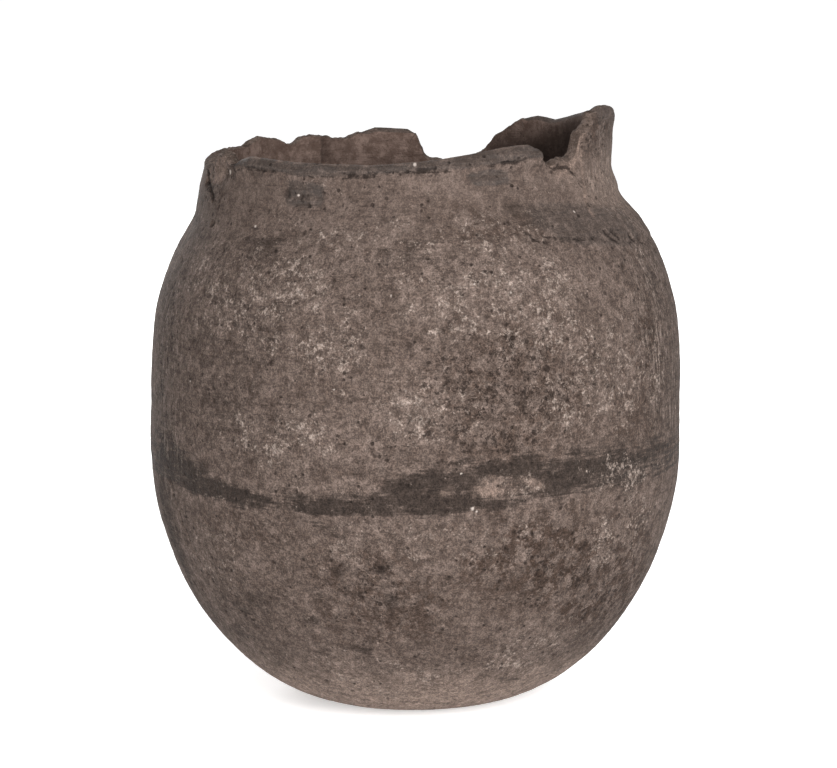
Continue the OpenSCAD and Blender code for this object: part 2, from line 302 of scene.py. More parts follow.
class Skin:
    """A grid on the outer face: its angles a, running lengths s, and the noise that marks share."""
    def __init__(self, a, s):
        self.a, self.s = np.broadcast_arrays(a % 360, s)
        self.z = outline(self.s)[1]
        self.flat = clay_point(self.a, self.s, 0)
        self.arc = np.radians(1) * outline(self.s)[0]      # mm to a degree
        self.wobble = {wave: noise(self.flat, wave, 11) for wave in (3, 7, 18, 45)}
        self.pits = np.zeros(self.z.shape)

    def ragged(self, amount):
        return amount * (0.5 * self.wobble[18] + 0.35 * self.wobble[7] + 0.25 * self.wobble[3])

    def patch(self, a, z, half_wide, half_high, soft=1.5, ragged=3.0, square=2.0, slant=0.0):
        """A stain centred at (a, z), in mm on the wall; slant lifts its right side."""
        across = turn(a, self.a) * self.arc
        u = np.abs(across) / half_wide
        v = np.abs(self.z - z - slant * across) / half_high
        inside = (1 - (u ** square + v ** square) ** (1 / square)) * min(half_wide, half_high)
        return ease((inside + self.ragged(ragged)) / (2 * soft) + 0.5)

    def patches(self, rows):
        """The strongest of several stains, each a strength followed by what patch() takes."""
        out = np.zeros(self.z.shape)
        for strength, *row in rows:
            out = np.maximum(out, strength * self.patch(*row))
        return out

    def crack(self, points, wide, deep):
        """A crack through (angle, height) points, its course bent a little by noise."""
        mask = np.zeros(self.z.shape)
        for (a0, z0), (a1, z1) in zip(points[:-1], points[1:]):
            x = turn(a0, self.a) * self.arc + 0.7 * self.wobble[7]
            y = self.z - z0 + 0.7 * self.wobble[3]
            dx, dy = turn(a0, a1) * self.arc, z1 - z0
            t = np.clip((x * dx + y * dy) / np.maximum(dx * dx + dy * dy, 1e-6), 0, 1)
            mask = np.maximum(mask, np.exp(-((x - t * dx) ** 2 + (y - t * dy) ** 2) / wide ** 2))
        return deep * mask

    def dots(self, rows):
        """Small round marks, each an angle, a height and a radius in mm."""
        out = np.zeros(self.z.shape)
        for a, z, radius in rows:
            far = np.hypot(turn(a, self.a) * self.arc, self.z - z) / radius
            out = np.maximum(out, np.exp(-far ** 2))
        return out

wall = Skin(column[None, :], outer_s)
print("Wall skin: %d points" % wall.z.size)

# %% [markdown]
# ## The smoked band
#
# Smoke and burnishing left a dark grey belt just under the widest ring, low at the front left and
# rising to the right, with fine level streaks in its edges. It could be one stripe of colour; a
# table of its upper and lower edge by angle lets it wander, and flaked patches break it up.

# %% The smoked band
BAND_TOP = np.array([
    [0, 119], [40, 116], [90, 117], [140, 114], [180, 117], [207, 117], [220, 114.5], [233, 104.5],
    [248, 104.5], [259, 108], [271, 117], [281, 122], [300, 125], [332, 122], [360, 119],
])
BAND_FOOT = np.array([
    [0, 101], [50, 99], [110, 101], [160, 98], [190, 99], [211, 98.5], [236, 95], [255, 95.5],
    [275, 96.5], [283, 98.5], [296, 101.5], [311, 103], [333, 102], [360, 101],
])
BAND_STRENGTH = np.array([
    [0, .55], [60, .8], [120, .6], [170, .8], [205, .85], [225, 1], [245, 1.05], [262, 1.05], [275, 1],
    [300, .9], [320, .7], [345, .55], [360, .55],
])

def along(table, a):
    return np.interp(a, table[:, 0], table[:, 1])

def smoked_band(skin):
    streaks = noise(skin.flat, (34, 34, 2.2), 21)
    top = ease((along(BAND_TOP, skin.a) - skin.z + skin.ragged(6) + 2.5 * streaks) / 7.5 + 0.1)
    foot = ease((skin.z - along(BAND_FOOT, skin.a) + skin.ragged(4) + 2 * streaks) / 5 + 0.2)
    crumbled = skin.patch(286, 108, 16, 4.5, 2, 6)      # the smoked skin has flaked off here
    tail = 0.4 * skin.patch(250.5, 91.5, 7, 2.6, 2, 2, 2, -0.35)
    worn = 1 + 0.35 * noise(skin.flat, (24, 24, 3), 22) + 0.3 * skin.wobble[7]
    band = top * foot * along(BAND_STRENGTH, skin.a) * np.clip(worn, 0, 1.15) * (1 - 0.8 * crumbled)
    return np.maximum(band, tail), crumbled

print("Smoked band covers %.0f%% of the wall" % (100 * (smoked_band(wall)[0] > 0.4).mean()))

# %% [markdown]
# ## Slip, clouds, bloom and streaks
#
# Each list below names one kind of stain: strength, angle, height, half width, half height, then
# how soft and ragged its edge is, and for some how square and how slanting. The front follows the
# photograph, and the sides and the back, which it doesn't show, get stains of the same kind.

# %% The other stains
SLIP = [
    (1, 292, 229, 9.5, 3.4, .6, 2.2, 3), (1, 243, 222, 9.5, 4.8, .7, 2.2, 4, -.1),
    (.55, 322, 208, 31, 8.5, .9, 2, 4, -.12), (.12, 345, 222, 26, 26, 8, 6),
    (.5, 150, 212, 40, 7, 2, 5), (.5, 70, 205, 30, 6, 2, 5),
]
CLOUD = [
    (.6, 232, 200.5, 11, 5, 4, 3.5, 4), (.55, 222, 50, 15, 4.5, 7, 9, 2, .2),
    (.45, 231, 57, 20, 2.2, 3, 3, 2, .16), (.45, 226, 44, 15, 2, 3, 3, 2, .12),
    (.5, 219, 53, 5, 3, 3, 3), (.32, 228, 158, 32, 44, 14, 12), (.35, 218, 38, 14, 3, 4, 6),
    (.7, 200, 78, 9, 26, 5, 5), (.35, 205, 112, 12, 22, 6, 6), (.3, 340, 140, 30, 50, 16, 12),
    (.5, 335, 180, 7, 16, 4, 6), (.55, 320, 112, 24, 8, 5, 8), (.8, 263, 75, 2.6, 1.8, 1, 1.4),
    (.7, 264.5, 61.5, 3.2, 3.2, 1, 2, 4), (.6, 257, 37.7, 4, 2, 1.5, 2), (.6, 253, 73, 4, 2.5, 1.5, 2),
    (.6, 245, 50, 5, 2.6, 1.5, 3), (.5, 300, 20, 7, 3, 1.5, 2), (.45, 300, 216, 12, 7, 4, 5),
    (.4, 268, 200, 16, 4, 3, 5), (.5, 30, 70, 30, 14, 5, 9), (.5, 120, 160, 34, 16, 6, 9),
    (.4, 80, 60, 22, 9, 4, 7), (.45, 168, 80, 26, 10, 5, 8),
]
BLOOM = [
    (.85, 236, 180, 40, 19, 9, 14), (.9, 252, 162, 17, 13, 8, 9), (.8, 240, 126, 24, 7, 4, 7),
    (.85, 281, 182, 26, 16, 8, 12), (.9, 296, 178, 30, 20, 9, 13), (.8, 271, 140, 24, 13, 7, 10),
    (.85, 310, 150, 34, 22, 9, 12), (.7, 262, 205, 26, 9, 5, 8), (.75, 290, 206, 24, 9, 5, 8),
    (.6, 270, 86, 36, 8, 5, 9), (.9, 318, 110, 20, 8, 4, 8), (.8, 325, 86, 14, 14, 4, 8),
    (.6, 290, 107, 14, 5, 3, 5), (.45, 262, 92, 20, 4, 3, 5), (.8, 319, 148, 5, 13, 2.5, 4),
    (.7, 330, 150, 8, 22, 3, 4), (1, 314, 80, 8, 14, 3, 5), (.8, 333.8, 188, 4, 9, 2, 4),
    (.8, 216, 188, 14, 10, 5, 8), (.9, 246, 130, 12, 7, 4, 6), (.9, 234, 129, 9, 5, 3, 5),
    (.8, 305, 34, 26, 14, 6, 9), (.6, 262, 25, 32, 12, 6, 9), (.7, 220, 72, 16, 14, 6, 9),
    (.6, 20, 160, 44, 26, 10, 14), (.65, 90, 120, 40, 26, 10, 14), (.6, 150, 130, 36, 34, 10, 14),
    (.6, 60, 60, 40, 20, 8, 12), (.6, 170, 190, 40, 16, 8, 12), (.6, 50, 200, 40, 12, 8, 10),
]
WARM = [
    (.9, 300, 76, 40, 20, 12, 12), (.9, 325, 62, 26, 26, 12, 10), (.7, 337, 246, 16, 11, 5, 5),
    (.6, 205, 226, 18, 14, 6, 6), (.5, 290, 210, 30, 8, 4, 6), (.7, 262, 62, 34, 22, 9, 12),
    (.6, 292, 148, 36, 34, 12, 14), (.6, 322, 140, 18, 22, 8, 10), (1, 314, 52, 16, 9, 5, 8),
    (1, 337, 50, 12, 16, 5, 8), (.8, 296, 87, 24, 8, 5, 8), (.9, 329, 158, 9, 24, 4, 6),
    (.5, 232, 86, 30, 8, 5, 8), (.7, 110, 80, 50, 26, 10, 14), (.7, 40, 110, 40, 30, 10, 14),
]
PITTED = [
    (1, 289, 146, 34, 24, 8, 12), (.9, 333, 243, 15, 12, 4, 5), (.9, 280, 128, 34, 9, 5, 8),
    (.7, 304, 72, 34, 18, 8, 10), (.8, 322, 52, 22, 20, 8, 10), (.7, 256, 68, 22, 22, 8, 10),
    (.6, 246, 218, 26, 8, 5, 8), (.7, 322, 222, 16, 10, 5, 6), (.9, 201, 160, 13, 50, 8, 8),
    (.8, 206, 226, 12, 14, 4, 6), (.6, 120, 120, 50, 40, 12, 14), (.6, 40, 150, 40, 40, 12, 14),
    (.6, 170, 60, 40, 24, 10, 12),
]
STREAKY = [
    (1, 345, 165, 38, 52, 10, 8), (.9, 200, 140, 22, 60, 10, 8), (.6, 345, 225, 30, 26, 6, 6),
    (.5, 60, 150, 50, 40, 12, 8),
]
PATCHES = {"slip": SLIP, "cloud": CLOUD, "bloom": BLOOM, "warm": WARM, "pitted": PITTED, "streaky": STREAKY}
print({name: len(rows) for name, rows in PATCHES.items()})

# %% Specks, the step, the groove and the cracks
# Specks: angle, height, radius. Step and groove: angle, height. Cracks: their points, width, depth.
SPECKS = [
    (272.3, 234.4, 1.0), (213.4, 228.8, 1.4), (241, 221.7, .8), (227.3, 208.5, .8), (265, 184.2, .7),
    (253.6, 147.2, .7), (215.7, 144.6, .8), (317, 213.6, .8), (282.8, 188.5, .7), (290.8, 185, .7),
    (279.3, 114.2, .8), (281.6, 99.9, 1.1), (282.4, 98.8, .8), (60, 170, .9), (95, 90, 1),
    (150, 200, .8), (170, 120, .9), (20, 60, .9),
]
STEP_FOOT = np.array([
    [300, 209], [302, 205.8], [306, 204.3], [314, 204.1], [328, 200.5], [348, 198.5], [372, 199],
])
GROOVE = np.array([
    [214, 229.5], [219, 231.8], [234, 230.5], [241, 228.6], [252, 229.4], [276, 232], [287, 232.4],
    [302, 235], [306, 236],
])
SPLIT = ([(325.5, 240), (325.8, 232), (325.2, 226), (323.4, 212)], .7, .5)   # below the notch
CRACKS = [
    ([(197.5, 224), (203, 220.5), (205.5, 217)], 1.1, 1.0), ([(193.5, 229), (197, 226)], 1.2, .8),
    ([(311, 233.5), (314, 231), (319, 231.5), (322, 228.5)], .8, .6),
    ([(205.6, 101), (208.5, 86), (211.4, 71), (215.5, 60)], .9, .35),
    ([(237, 87.2), (244, 80)], .6, .3), ([(241, 88.5), (247.5, 82.5)], .6, .3),
    ([(292, 114.7), (300, 110)], .6, .25), ([(322.5, 204.8), (325, 202.5), (326.5, 200.8)], .9, .6),
    ([(325.5, 204.8), (327.8, 202)], .9, .6), ([(333, 202), (335.5, 199.6)], .9, .6),
    ([(338, 200), (340.5, 197.5)], .9, .5),
    # a dark outline round the left end of the front lip: painted shadow, also cut as a shallow groove
    ([(216.4, 234.6), (215.2, 231.6), (216.6, 229.4), (220, 230.6)], .9, .5),
    ([(222, 56), (231, 51), (238, 50)], .7, .3), ([(219, 50), (228, 46.5)], .7, .3),
    ([(298, 208), (299.5, 204), (303, 203)], .8, .5),
    ([(226, 205), (233, 204.5), (239, 205)], .6, .25), ([(228, 197), (236, 197.5)], .6, .25),
]
print("%d specks and %d cracks" % (len(SPECKS), len(CRACKS) + 1))

# %% [markdown]
# ## From marks to masks
#
# Now the marks are drawn on a skin. A painter would lay them over each other at once, but each is
# kept as a mask of its own, because the relief needs them as well as the colours. The smoked band,
# for one, lies a little lower than the bare clay.

# %% Masks of a skin
def step_of(skin):
    """Height over the worn step on the right shoulder, and how much of it there is at this angle."""
    turned = np.where(skin.a < 90, skin.a + 360, skin.a)
    share = ease((turned - 300.5) / 2.5) * (1 - ease((turned - 350) / 22))
    return skin.z - along(STEP_FOOT, turned) + skin.ragged(1.4), share

def in_front(a):
    """1 below the front lip, running out past both its ends."""
    return ease((a - 216) / 3) * (1 - ease((a - 303) / 4))

def seams_and_shadows_of(skin):
    """Dark lines: painted shadow under the front lip's edge, the foot of the step, and the cracks."""
    under = skin.z - along(GROOVE, skin.a) + 0.5 * skin.wobble[7]
    open_parts = np.clip(0.5 + skin.wobble[18] + 0.7 * skin.wobble[3], 0, 1)
    # painted shadow along the groove under the front lip's lower edge
    groove = in_front(skin.a) * np.exp(-(under / 1.4) ** 2) * open_parts
    over, share = step_of(skin)
    open_parts = np.clip(0.45 + 0.9 * skin.wobble[18] + 0.4 * skin.wobble[3], 0, 1)
    step = share * np.exp(-over ** 2) * open_parts
    seams_and_shadows = np.maximum(groove, step * np.interp(skin.a, [300, 306, 318, 360], [1, 1, .5, .5]))
    for points, wide, deep in CRACKS:
        seams_and_shadows = np.maximum(seams_and_shadows, skin.crack(points, wide, min(1, 1.6 * deep)))
    return seams_and_shadows

def marks_of(skin):
    """Every mask of a skin, by its name."""
    marks = {name: skin.patches(rows) for name, rows in PATCHES.items()}
    marks["band"], marks["crumbled"] = smoked_band(skin)
    marks["speck"] = skin.dots(SPECKS)
    marks["seam_and_shadow"] = seams_and_shadows_of(skin)
    pale_line = 0.8 * skin.crack(SPLIT[0], 0.9, 1)
    left_corner = 0.8 * skin.patch(204, 230, 13, 7, 1.5, 4)
    marks["flake"] = np.maximum(pale_line, left_corner)
    dusty_neck = 0.5 * skin.patch(342, 222, 28, 13, 8, 5)
    # paler towards the foot: painted light from the floor below; the patch at the right of the neck is dust
    marks["dust_and_foot_light"] = np.maximum(ease((36 - skin.z + skin.ragged(9)) / 34), dusty_neck)
    return marks

marks = marks_of(wall)
print({name: "%.2f" % mask.mean() for name, mask in marks.items()})

# %% [markdown]
# ## The relief of the outer face
#
# A hand-smoothed wall is never even: broad hollows from the palm, low facets from the scraper,
# a soft valley where two coils meet, and the grain of the clay. A displacement modifier with
# textures would do the broad part, but the jar's own marks have places, so the relief is summed
# in one array of millimetres and then pushed inward, where the CAD box has room.

# %% Broad relief, and the worn step at the foot of the neck
INSET, BELLY_INSET = 0.12, 0.5   # mm that the mean face lies inside the CAD's, and more at the belly
UNEVEN = [(0.50, (85, 85, 55), 31), (0.22, (30, 30, 17), 32), (0.07, (26, 26, 4.5), 33),
          (0.07, 9, 34), (0.08, 3.6, 35), (0.06, 2.0, 36)]

def relief_of(skin, marks):
    """How far a skin stands out from the formula's wall, in mm. Most of it lies inside, below 0."""
    p = skin.flat
    out = layered(p, UNEVEN)
    out -= INSET + BELLY_INSET * np.exp(-((skin.z - BELLY_Z) / 45) ** 2)
    right = np.exp(-(turn(345, skin.a) / 27) ** 2)         # the right shoulder swells a little
    out += right * (0.7 * np.exp(-((skin.z - 204) / 15) ** 2) + 0.4 * np.exp(-((skin.z - 238) / 10) ** 2)
                    + 0.7 * np.exp(-((skin.z - 219) / 6) ** 2))
    for j in range(1, MOUTH_JOINT + 1):
        valley = np.exp(-((skin.s - joint_outer(skin.a, j)) / 5.0) ** 2)
        out -= 0.16 * valley * (0.6 + 0.6 * skin.wobble[45])
    out -= marks["band"] * (0.10 + 0.14 * np.maximum(noise(p, 2.6, 41), 0))
    out -= 0.55 * marks["crumbled"] * (0.5 + 0.7 * skin.wobble[3])
    out -= 0.10 * marks["warm"] * np.abs(noise(p, 5, 42))
    out -= 0.16 * marks["pitted"] * np.clip(noise(p, 2.8, 44) + 0.1, 0, 1)
    corner = skin.patch(204, 230, 15, 8, 2, 3)             # the left corner of the mouth has crumbled
    out -= corner * (0.3 + 0.55 * np.abs(noise(p, 4.2, 45)) + 0.25 * noise(p, 1.9, 46))
    out += 0.06 * marks["bloom"] * noise(p, 2.2, 43)
    over, on_step = step_of(skin)
    out += on_step * (0.30 * ease(over / 1.6) * (1 - ease(over / 16)) - 0.42 * np.exp(-(over / 1.1) ** 2))
    under = skin.z - along(GROOVE, skin.a)
    out -= in_front(skin.a) * (0.65 + 0.3 * skin.wobble[18]) * np.exp(-(under / 1.3) ** 2)
    out -= 0.25 * ease((marks["slip"] - 0.2) / 0.5) * (skin.z > 215)
    for points, wide, deep in CRACKS + [SPLIT]:
        out -= skin.crack(points, wide, deep)
    scraped = skin.patch(205, 80, 26, 26, 3, 2, 3) - skin.patch(203, 80, 23, 25, 3, 2, 3)
    return out - 0.15 * np.clip(scraped, 0, 1)

relief = relief_of(wall, marks)
print("Broad relief: %.2f to %.2f mm" % (relief.min(), relief.max()))

# %% [markdown]
# ## Pits and grit
#
# Where chaff burned out or grit fell away the skin has pits, some dozens of them as large as a
# seed, and many pinholes. Geometry carries those wider than the grid's step, each stamped as a
# ragged bowl with a low rim. The pinholes come from the material. The grid could be cut with
# spheres instead, but hundreds of cuts are slow and leave slivers.

# %% Stamping pits into the relief
def stamp(skin, relief, a, z, wide, deep):
    """A pit of radius wide and depth deep, both in mm; a negative depth is a grain of grit."""
    col = int(round(a % 360 / 360 * COLS)) % COLS
    row = int(np.argmin(np.abs(skin.z[FOOT_ROWS + 1:, col] - z))) + FOOT_ROWS + 1
    reach_c = int(1.8 * wide / (float(skin.arc[row, col]) * 360 / COLS)) + 2
    reach_r = int(3.6 * wide / ROW_MM) + 2
    rows = np.arange(max(row - reach_r, 1), min(row + reach_r, len(skin.s) - 1))
    at = np.ix_(rows, np.arange(col - reach_c, col + reach_c + 1) % COLS)
    x = turn(a, skin.a[at]) * skin.arc[at]
    far = np.hypot(x, skin.s[at] - s_at_z(z)) / wide * (1 + 0.35 * skin.wobble[3][at])
    bowl = ease(1.25 - far)
    relief[at] -= deep * bowl
    if deep > 0:
        relief[at] += 0.12 * deep * np.exp(-((far - 1.3) / 0.25) ** 2)
        skin.pits[at] = np.maximum(skin.pits[at], bowl)

SEEN_PITS = [
    (237.3, 222.3, 2.2, .7), (242.3, 207, 1.3, .6), (253.3, 197, 1.2, .5), (268.8, 165, 1.5, .7),
    (223.8, 143.2, 1.7, .7), (333.1, 225.8, 1.1, .6), (330.6, 227.5, .9, .6), (208.1, 207.6, 1.8, .9),
    (198, 223.4, 2.0, .9), (205.6, 216.6, 1.3, .8), (313, 230, 1.0, .5), (316.5, 231.5, 1.2, .5),
    (262.9, 75, 1.3, .5), (279.3, 199, 1.0, .4), (265, 187, .9, .4), (285, 176, 1.1, .4),
]
PITS, GRIT = 2400, 420   # places tried for a pit, and grains of grit
for a, z, wide, deep in SEEN_PITS:
    stamp(wall, relief, a, z, wide, deep)
pit_a, pit_z = dice.uniform(0, 360, PITS), dice.uniform(14, 224, PITS)
for a, z, wide, lot in zip(pit_a, pit_z, 0.65 + 0.9 * dice.random(PITS) ** 3, dice.random(PITS)):
    col = int(a / 360 * COLS)
    row = np.argmin(np.abs(wall.z[:, col] - z))
    if lot < 0.14 + 0.2 * marks["warm"][row, col] + 0.6 * marks["pitted"][row, col]:
        stamp(wall, relief, a, z, wide, (0.25 + 0.4 * lot) * wide)
grit_a, grit_z = dice.uniform(0, 360, GRIT), dice.uniform(10, 230, GRIT)
for a, z, wide in zip(grit_a, grit_z, dice.uniform(.7, 1.1, GRIT)):
    stamp(wall, relief, a, z, wide, -0.12 * wide)
print("Relief of the outer face: %.2f to %.2f mm" % (relief.min(), relief.max()))

# %% The outer face in place
SCAR_FADE = ([CROWN, LIP_LAP, 12], [1, 0.5, 0])   # mm below the edge, and how deep the scar is there
mouth_row = first_row[-2]
scar_mm = np.zeros_like(outer_s)
scar_mm[mouth_row:] = scar(column) * np.interp((top_edge - outer_s)[mouth_row:], *SCAR_FADE)
flake = ease((scar_mm - 0.25) / 0.5)
marks["flake"] = np.maximum(marks["flake"], flake)
relief -= flake * (0.15 + 0.30 * np.abs(noise(wall.flat, 4, 51)))
at_belly = np.exp(-((wall.z - BELLY_Z) / 45) ** 4)
relief = np.where(at_belly > 0.3, np.minimum(relief, -0.02), relief) * ease((wall.z - 0.4) / 3)
outer = clay_point(column, outer_s, scar_mm - relief)
outer[..., 2] = np.maximum(outer[..., 2], 0)
print("Outer face: %.1f to %.1f mm high" % (outer[..., 2].min(), outer[..., 2].max()))

# %% [markdown]
# ## A test against the CAD
#
# The outer corners of the CAD's facets should lie on the formula's wall, so the largest distance
# between them is printed. It grows if a size was copied wrongly. The two could be compared in a
# picture, but half a millimetre wouldn't show there.

# %% A test of the formula against the CAD's points
gaps = []
for name in COILS[:-1]:
    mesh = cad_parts[name].data
    v = np.empty(len(mesh.vertices) * 3)
    mesh.vertices.foreach_get("co", v)
    x, y, z = (v.reshape(-1, 3) / MM).T
    x = x - lean(z)
    gap = np.abs(np.hypot(x, y) - outside_r(z) - out_of_true(np.degrees(np.arctan2(y, x)), z))
    gaps.append(gap[gap < 1].max())
print("CAD's outer points lie within %.2f mm of the formula" % max(gaps))

# %% [markdown]
# ## The inner face
#
# Inside, the potter wiped the wall level with wet fingers and left it rougher than the outside,
# and its colour is darker towards the depth, with painted shade on the right. It could be a
# solidified copy of the outside, but it has marks of its own, so it gets its own grid, with the
# thickness of the wall as its depth.

# %% The inner face
NECK_RING = 7
inner_parts = [rows_between(np.full(COLS, HUB_MM), joint_outer(column, 0) - LAP, INNER_FOOT_ROWS)]
inner_parts += [ring_rows(j, NECK_ROW_MM if j == NECK_RING else INNER_ROW_MM, LAP)
                for j in range(MOUTH_JOINT)]
inner_parts += [rows_between(joint_outer(column, MOUTH_JOINT) - LAP, top_edge, MOUTH_ROWS)]
inner_first = np.cumsum([0] + [len(part) - 1 for part in inner_parts])
inner_s = np.concatenate([part[:-1] for part in inner_parts] + [inner_parts[-1][-1:]])
inner_flat = clay_point(column, inner_s, thickness(inner_s))
inner_z = inner_flat[..., 2]
CREASE = 118.5   # a lap in the inner face of the back sherd, its right side sunk
WIPE_MARKS = [(0.40, (60, 60, 40), 62), (0.16, (26, 26, 7), 63), (0.16, 11, 64), (0.06, 3.4, 65)]

def wiped(points, a, z):
    """Relief of an inner face, in mm towards the axis."""
    past = turn(a, CREASE) + 0.4 * noise(points, 5, 61)
    sunk = ease(past / 0.9) * (1 - ease((past - 10) / 22)) * ease((z - 221) / 4)
    return (layered(points, WIPE_MARKS) - 0.9 * sunk) * ease((z - 2) / 6)

inner = clay_point(column, inner_s, thickness(inner_s) + wiped(inner_flat, column, inner_z))

def soot_and_shade_of(points, a, z):
    """Soot and shade on an inner face: cloudy soot, darker below and beside the crease of the back sherd, and
    painted shade on the right.
    """
    past = turn(a, CREASE) + 0.4 * noise(points, 5, 61)
    soot_and_shade = 0.12 + 0.35 * noise(points, (60, 60, 30), 66)
    soot_and_shade += 0.75 * np.exp(-np.maximum(past, 0) / 5) * ease(past / 0.8) * ease((z - 222) / 4)
    starts = 247 + 8 * ease(turn(a, 50) / 15)                # nearer to the edge at the far right
    # painted shade: the inner wall on the right, away from the light, darker below its top
    soot_and_shade += 0.95 * ease((78 - np.abs(turn(8, a))) / 34) * ease((starts - z) / 19)
    soot_and_shade += 0.3 * ease((230 - z) / 25)
    return np.clip(soot_and_shade, 0, 1)

soot_and_shade = soot_and_shade_of(inner_flat, column, inner_z)
print("Inner grid:", inner_s.shape)

# %% [markdown]
# ## The fracture
#
# Where the mouth broke, the wall shows its core, gritty and lighter than the skin, its edges a
# little rounded by wear. A boolean cut would leave a clean flat face. Here rows run from the
# outer edge to the inner one, lifted by a low crown and by noise, more where the break is rough.

# %% The fracture across the wall
BREAK_ROWS = 8
across = (np.arange(BREAK_ROWS + 1) / BREAK_ROWS)[:, None]
edge_out, edge_in = outer[-1], inner[-1]
rounded = np.interp(across, [0, .15, .5, .85, 1], [-1, .1, 1, .75, 0])
level = np.interp(across, [0, 1], [-1, 0])
crown = CROWN * rounded - CROWN * level
break_flat = edge_out + (edge_in - edge_out) * across[..., None]
gritty = layered(break_flat, [(0.55, 3.6, 71), (0.4, 1.6, 72)]) * roughness
fade = np.sin(np.pi * across) ** 0.5
lift = broken * (crown + gritty * fade)
break_face = break_flat + lift[..., None] * np.array([0, 0, 1.0])
print("Fracture's lift: %.2f to %.2f mm" % (lift.min(), lift.max()))

# %% [markdown]
# ## Meshes from grids
#
# A grid becomes a mesh of quads whose last column meets the first. It could be built face by
# face in bmesh, but each ring has tens of thousands of faces, so numpy fills Blender's arrays.
# Each ring's section runs up the outside, in along the joint above, down the inside and out
# along the joint below. The normals of the outer and inner faces are taken from the whole wall's
# grid, so that light runs over a joint without a line.

# %% Normals of a grid
def grid_normals(points, closed=True):
    """Normals of a grid whose rows run up and whose columns run anticlockwise."""
    if closed:
        sideways = np.roll(points, -1, 1) - np.roll(points, 1, 1)
    else:
        sideways = np.gradient(points, axis=1)
    n = np.cross(sideways, np.gradient(points, axis=0))
    return n / np.maximum(np.linalg.norm(n, axis=-1, keepdims=True), 1e-9)

# %% A mesh from arrays
def mesh_object(name, points, faces_of, slots, corner_normals, uv, masks):
    """A mesh from vertex places in mm, quads, a material slot for each, and corner data."""
    mesh = bpy.data.meshes.new(name)
    mesh.vertices.add(len(points))
    mesh.vertices.foreach_set("co", (points * MM).astype(np.float32).ravel())
    mesh.loops.add(faces_of.size)
    mesh.loops.foreach_set("vertex_index", faces_of.astype(np.int32).ravel())
    mesh.polygons.add(len(faces_of))
    mesh.polygons.foreach_set("loop_start", np.arange(0, faces_of.size, 4, dtype=np.int32))
    mesh.polygons.foreach_set("material_index", slots.astype(np.int32))
    mesh.polygons.foreach_set("use_smooth", np.ones(len(faces_of), bool))
    for key, values in masks.items():
        mesh.attributes.new(key, "FLOAT", "POINT").data.foreach_set("value", values.astype(np.float32))
    mesh.uv_layers.new(name="OFBake").uv.foreach_set("vector", uv.astype(np.float32).ravel())
    mesh.update(calc_edges=True)
    mesh.normals_split_custom_set(corner_normals.reshape(-1, 3))
    piece = bpy.data.objects.new(name, mesh)
    bpy.context.collection.objects.link(piece)
    return piece

# %% Quads of a grid, and its map
def quads(points):
    """Corners of a grid's quads: the row and column below left, then anticlockwise."""
    return np.stack([points[:-1, :-1], points[:-1, 1:], points[1:, 1:], points[1:, :-1]], 2)

def wrapped(points):
    """A grid with its first column again at the end."""
    return np.concatenate([points, points[:, :1]], 1)

def strips(rows, cols, across, count):
    """A map that cuts a band into strips and stacks them, so that it fills the square."""
    long = np.linspace(0, cols, cols + 1)
    each = cols // count
    tall = (np.concatenate([[0], np.cumsum(across)]) / np.sum(across))[:, None]
    out = np.empty((rows, cols, 4, 2))
    for k in range(count):
        first, end = k * each, (k + 1) * each if k < count - 1 else cols
        u = 0.004 + 0.992 * (long[first:end + 1] - first) / (end - first)
        v = (k + 0.01 + 0.98 * tall) / count
        out[:, first:end] = quads(np.stack(np.broadcast_arrays(u, v), -1))
    return out

# %% A closed ring
OUTSIDE, BREAK, INSIDE = 0, 1, 2
MASKS = ["band", "crumbled", "slip", "cloud", "bloom", "warm", "streaky", "pitted", "speck", "seam_and_shadow",
         "flake", "dust_and_foot_light", "pits", "soot_and_shade"]

def ring(name, faces):
    """A closed ring from its faces in turn, which share their end rows: slot, points, normals, marks."""
    places = np.concatenate([points[:-1] for slot, points, normals, marks in faces])
    slots = np.concatenate([np.full(len(points) - 1, slot) for slot, points, normals, marks in faces])
    corners = np.concatenate([quads(wrapped(normals)) for slot, points, normals, marks in faces])
    masks = {key: np.concatenate([
        np.broadcast_to(marks.get(key, 0.0), points.shape[:2])[:-1]
        for slot, points, normals, marks in faces]).ravel() for key in MASKS}
    rows = len(places)
    index = wrapped(np.arange(rows * COLS).reshape(rows, COLS))
    index = np.concatenate([index, index[:1]])
    spacing = np.where(slots == INSIDE, 1.6, 1.0)
    piece = mesh_object(name, places.reshape(-1, 3), quads(index).reshape(-1, 4), np.repeat(slots, COLS),
                        corners, strips(rows, COLS, spacing, 3), masks)
    print("%s: %d faces" % (name, rows * COLS))
    return piece

# %% The nine rings of the wall
outer_normals = grid_normals(outer)
inner_normals = -grid_normals(inner)
skin_masks = {**marks, "pits": wall.pits}
pieces = {}

def joint_face(j, from_outside):
    """The bevel under ring j, from its outer edge to its inner one, or the other way."""
    keyed = joint_outer(column, j) - LAP / 2 - KEY_DEPTH
    middle = clay_point(column, keyed, thickness(keyed) / 2)
    face = np.stack([outer[first_row[j + 1]], middle, inner[inner_first[j + 1]]])
    return face if from_outside else face[::-1]

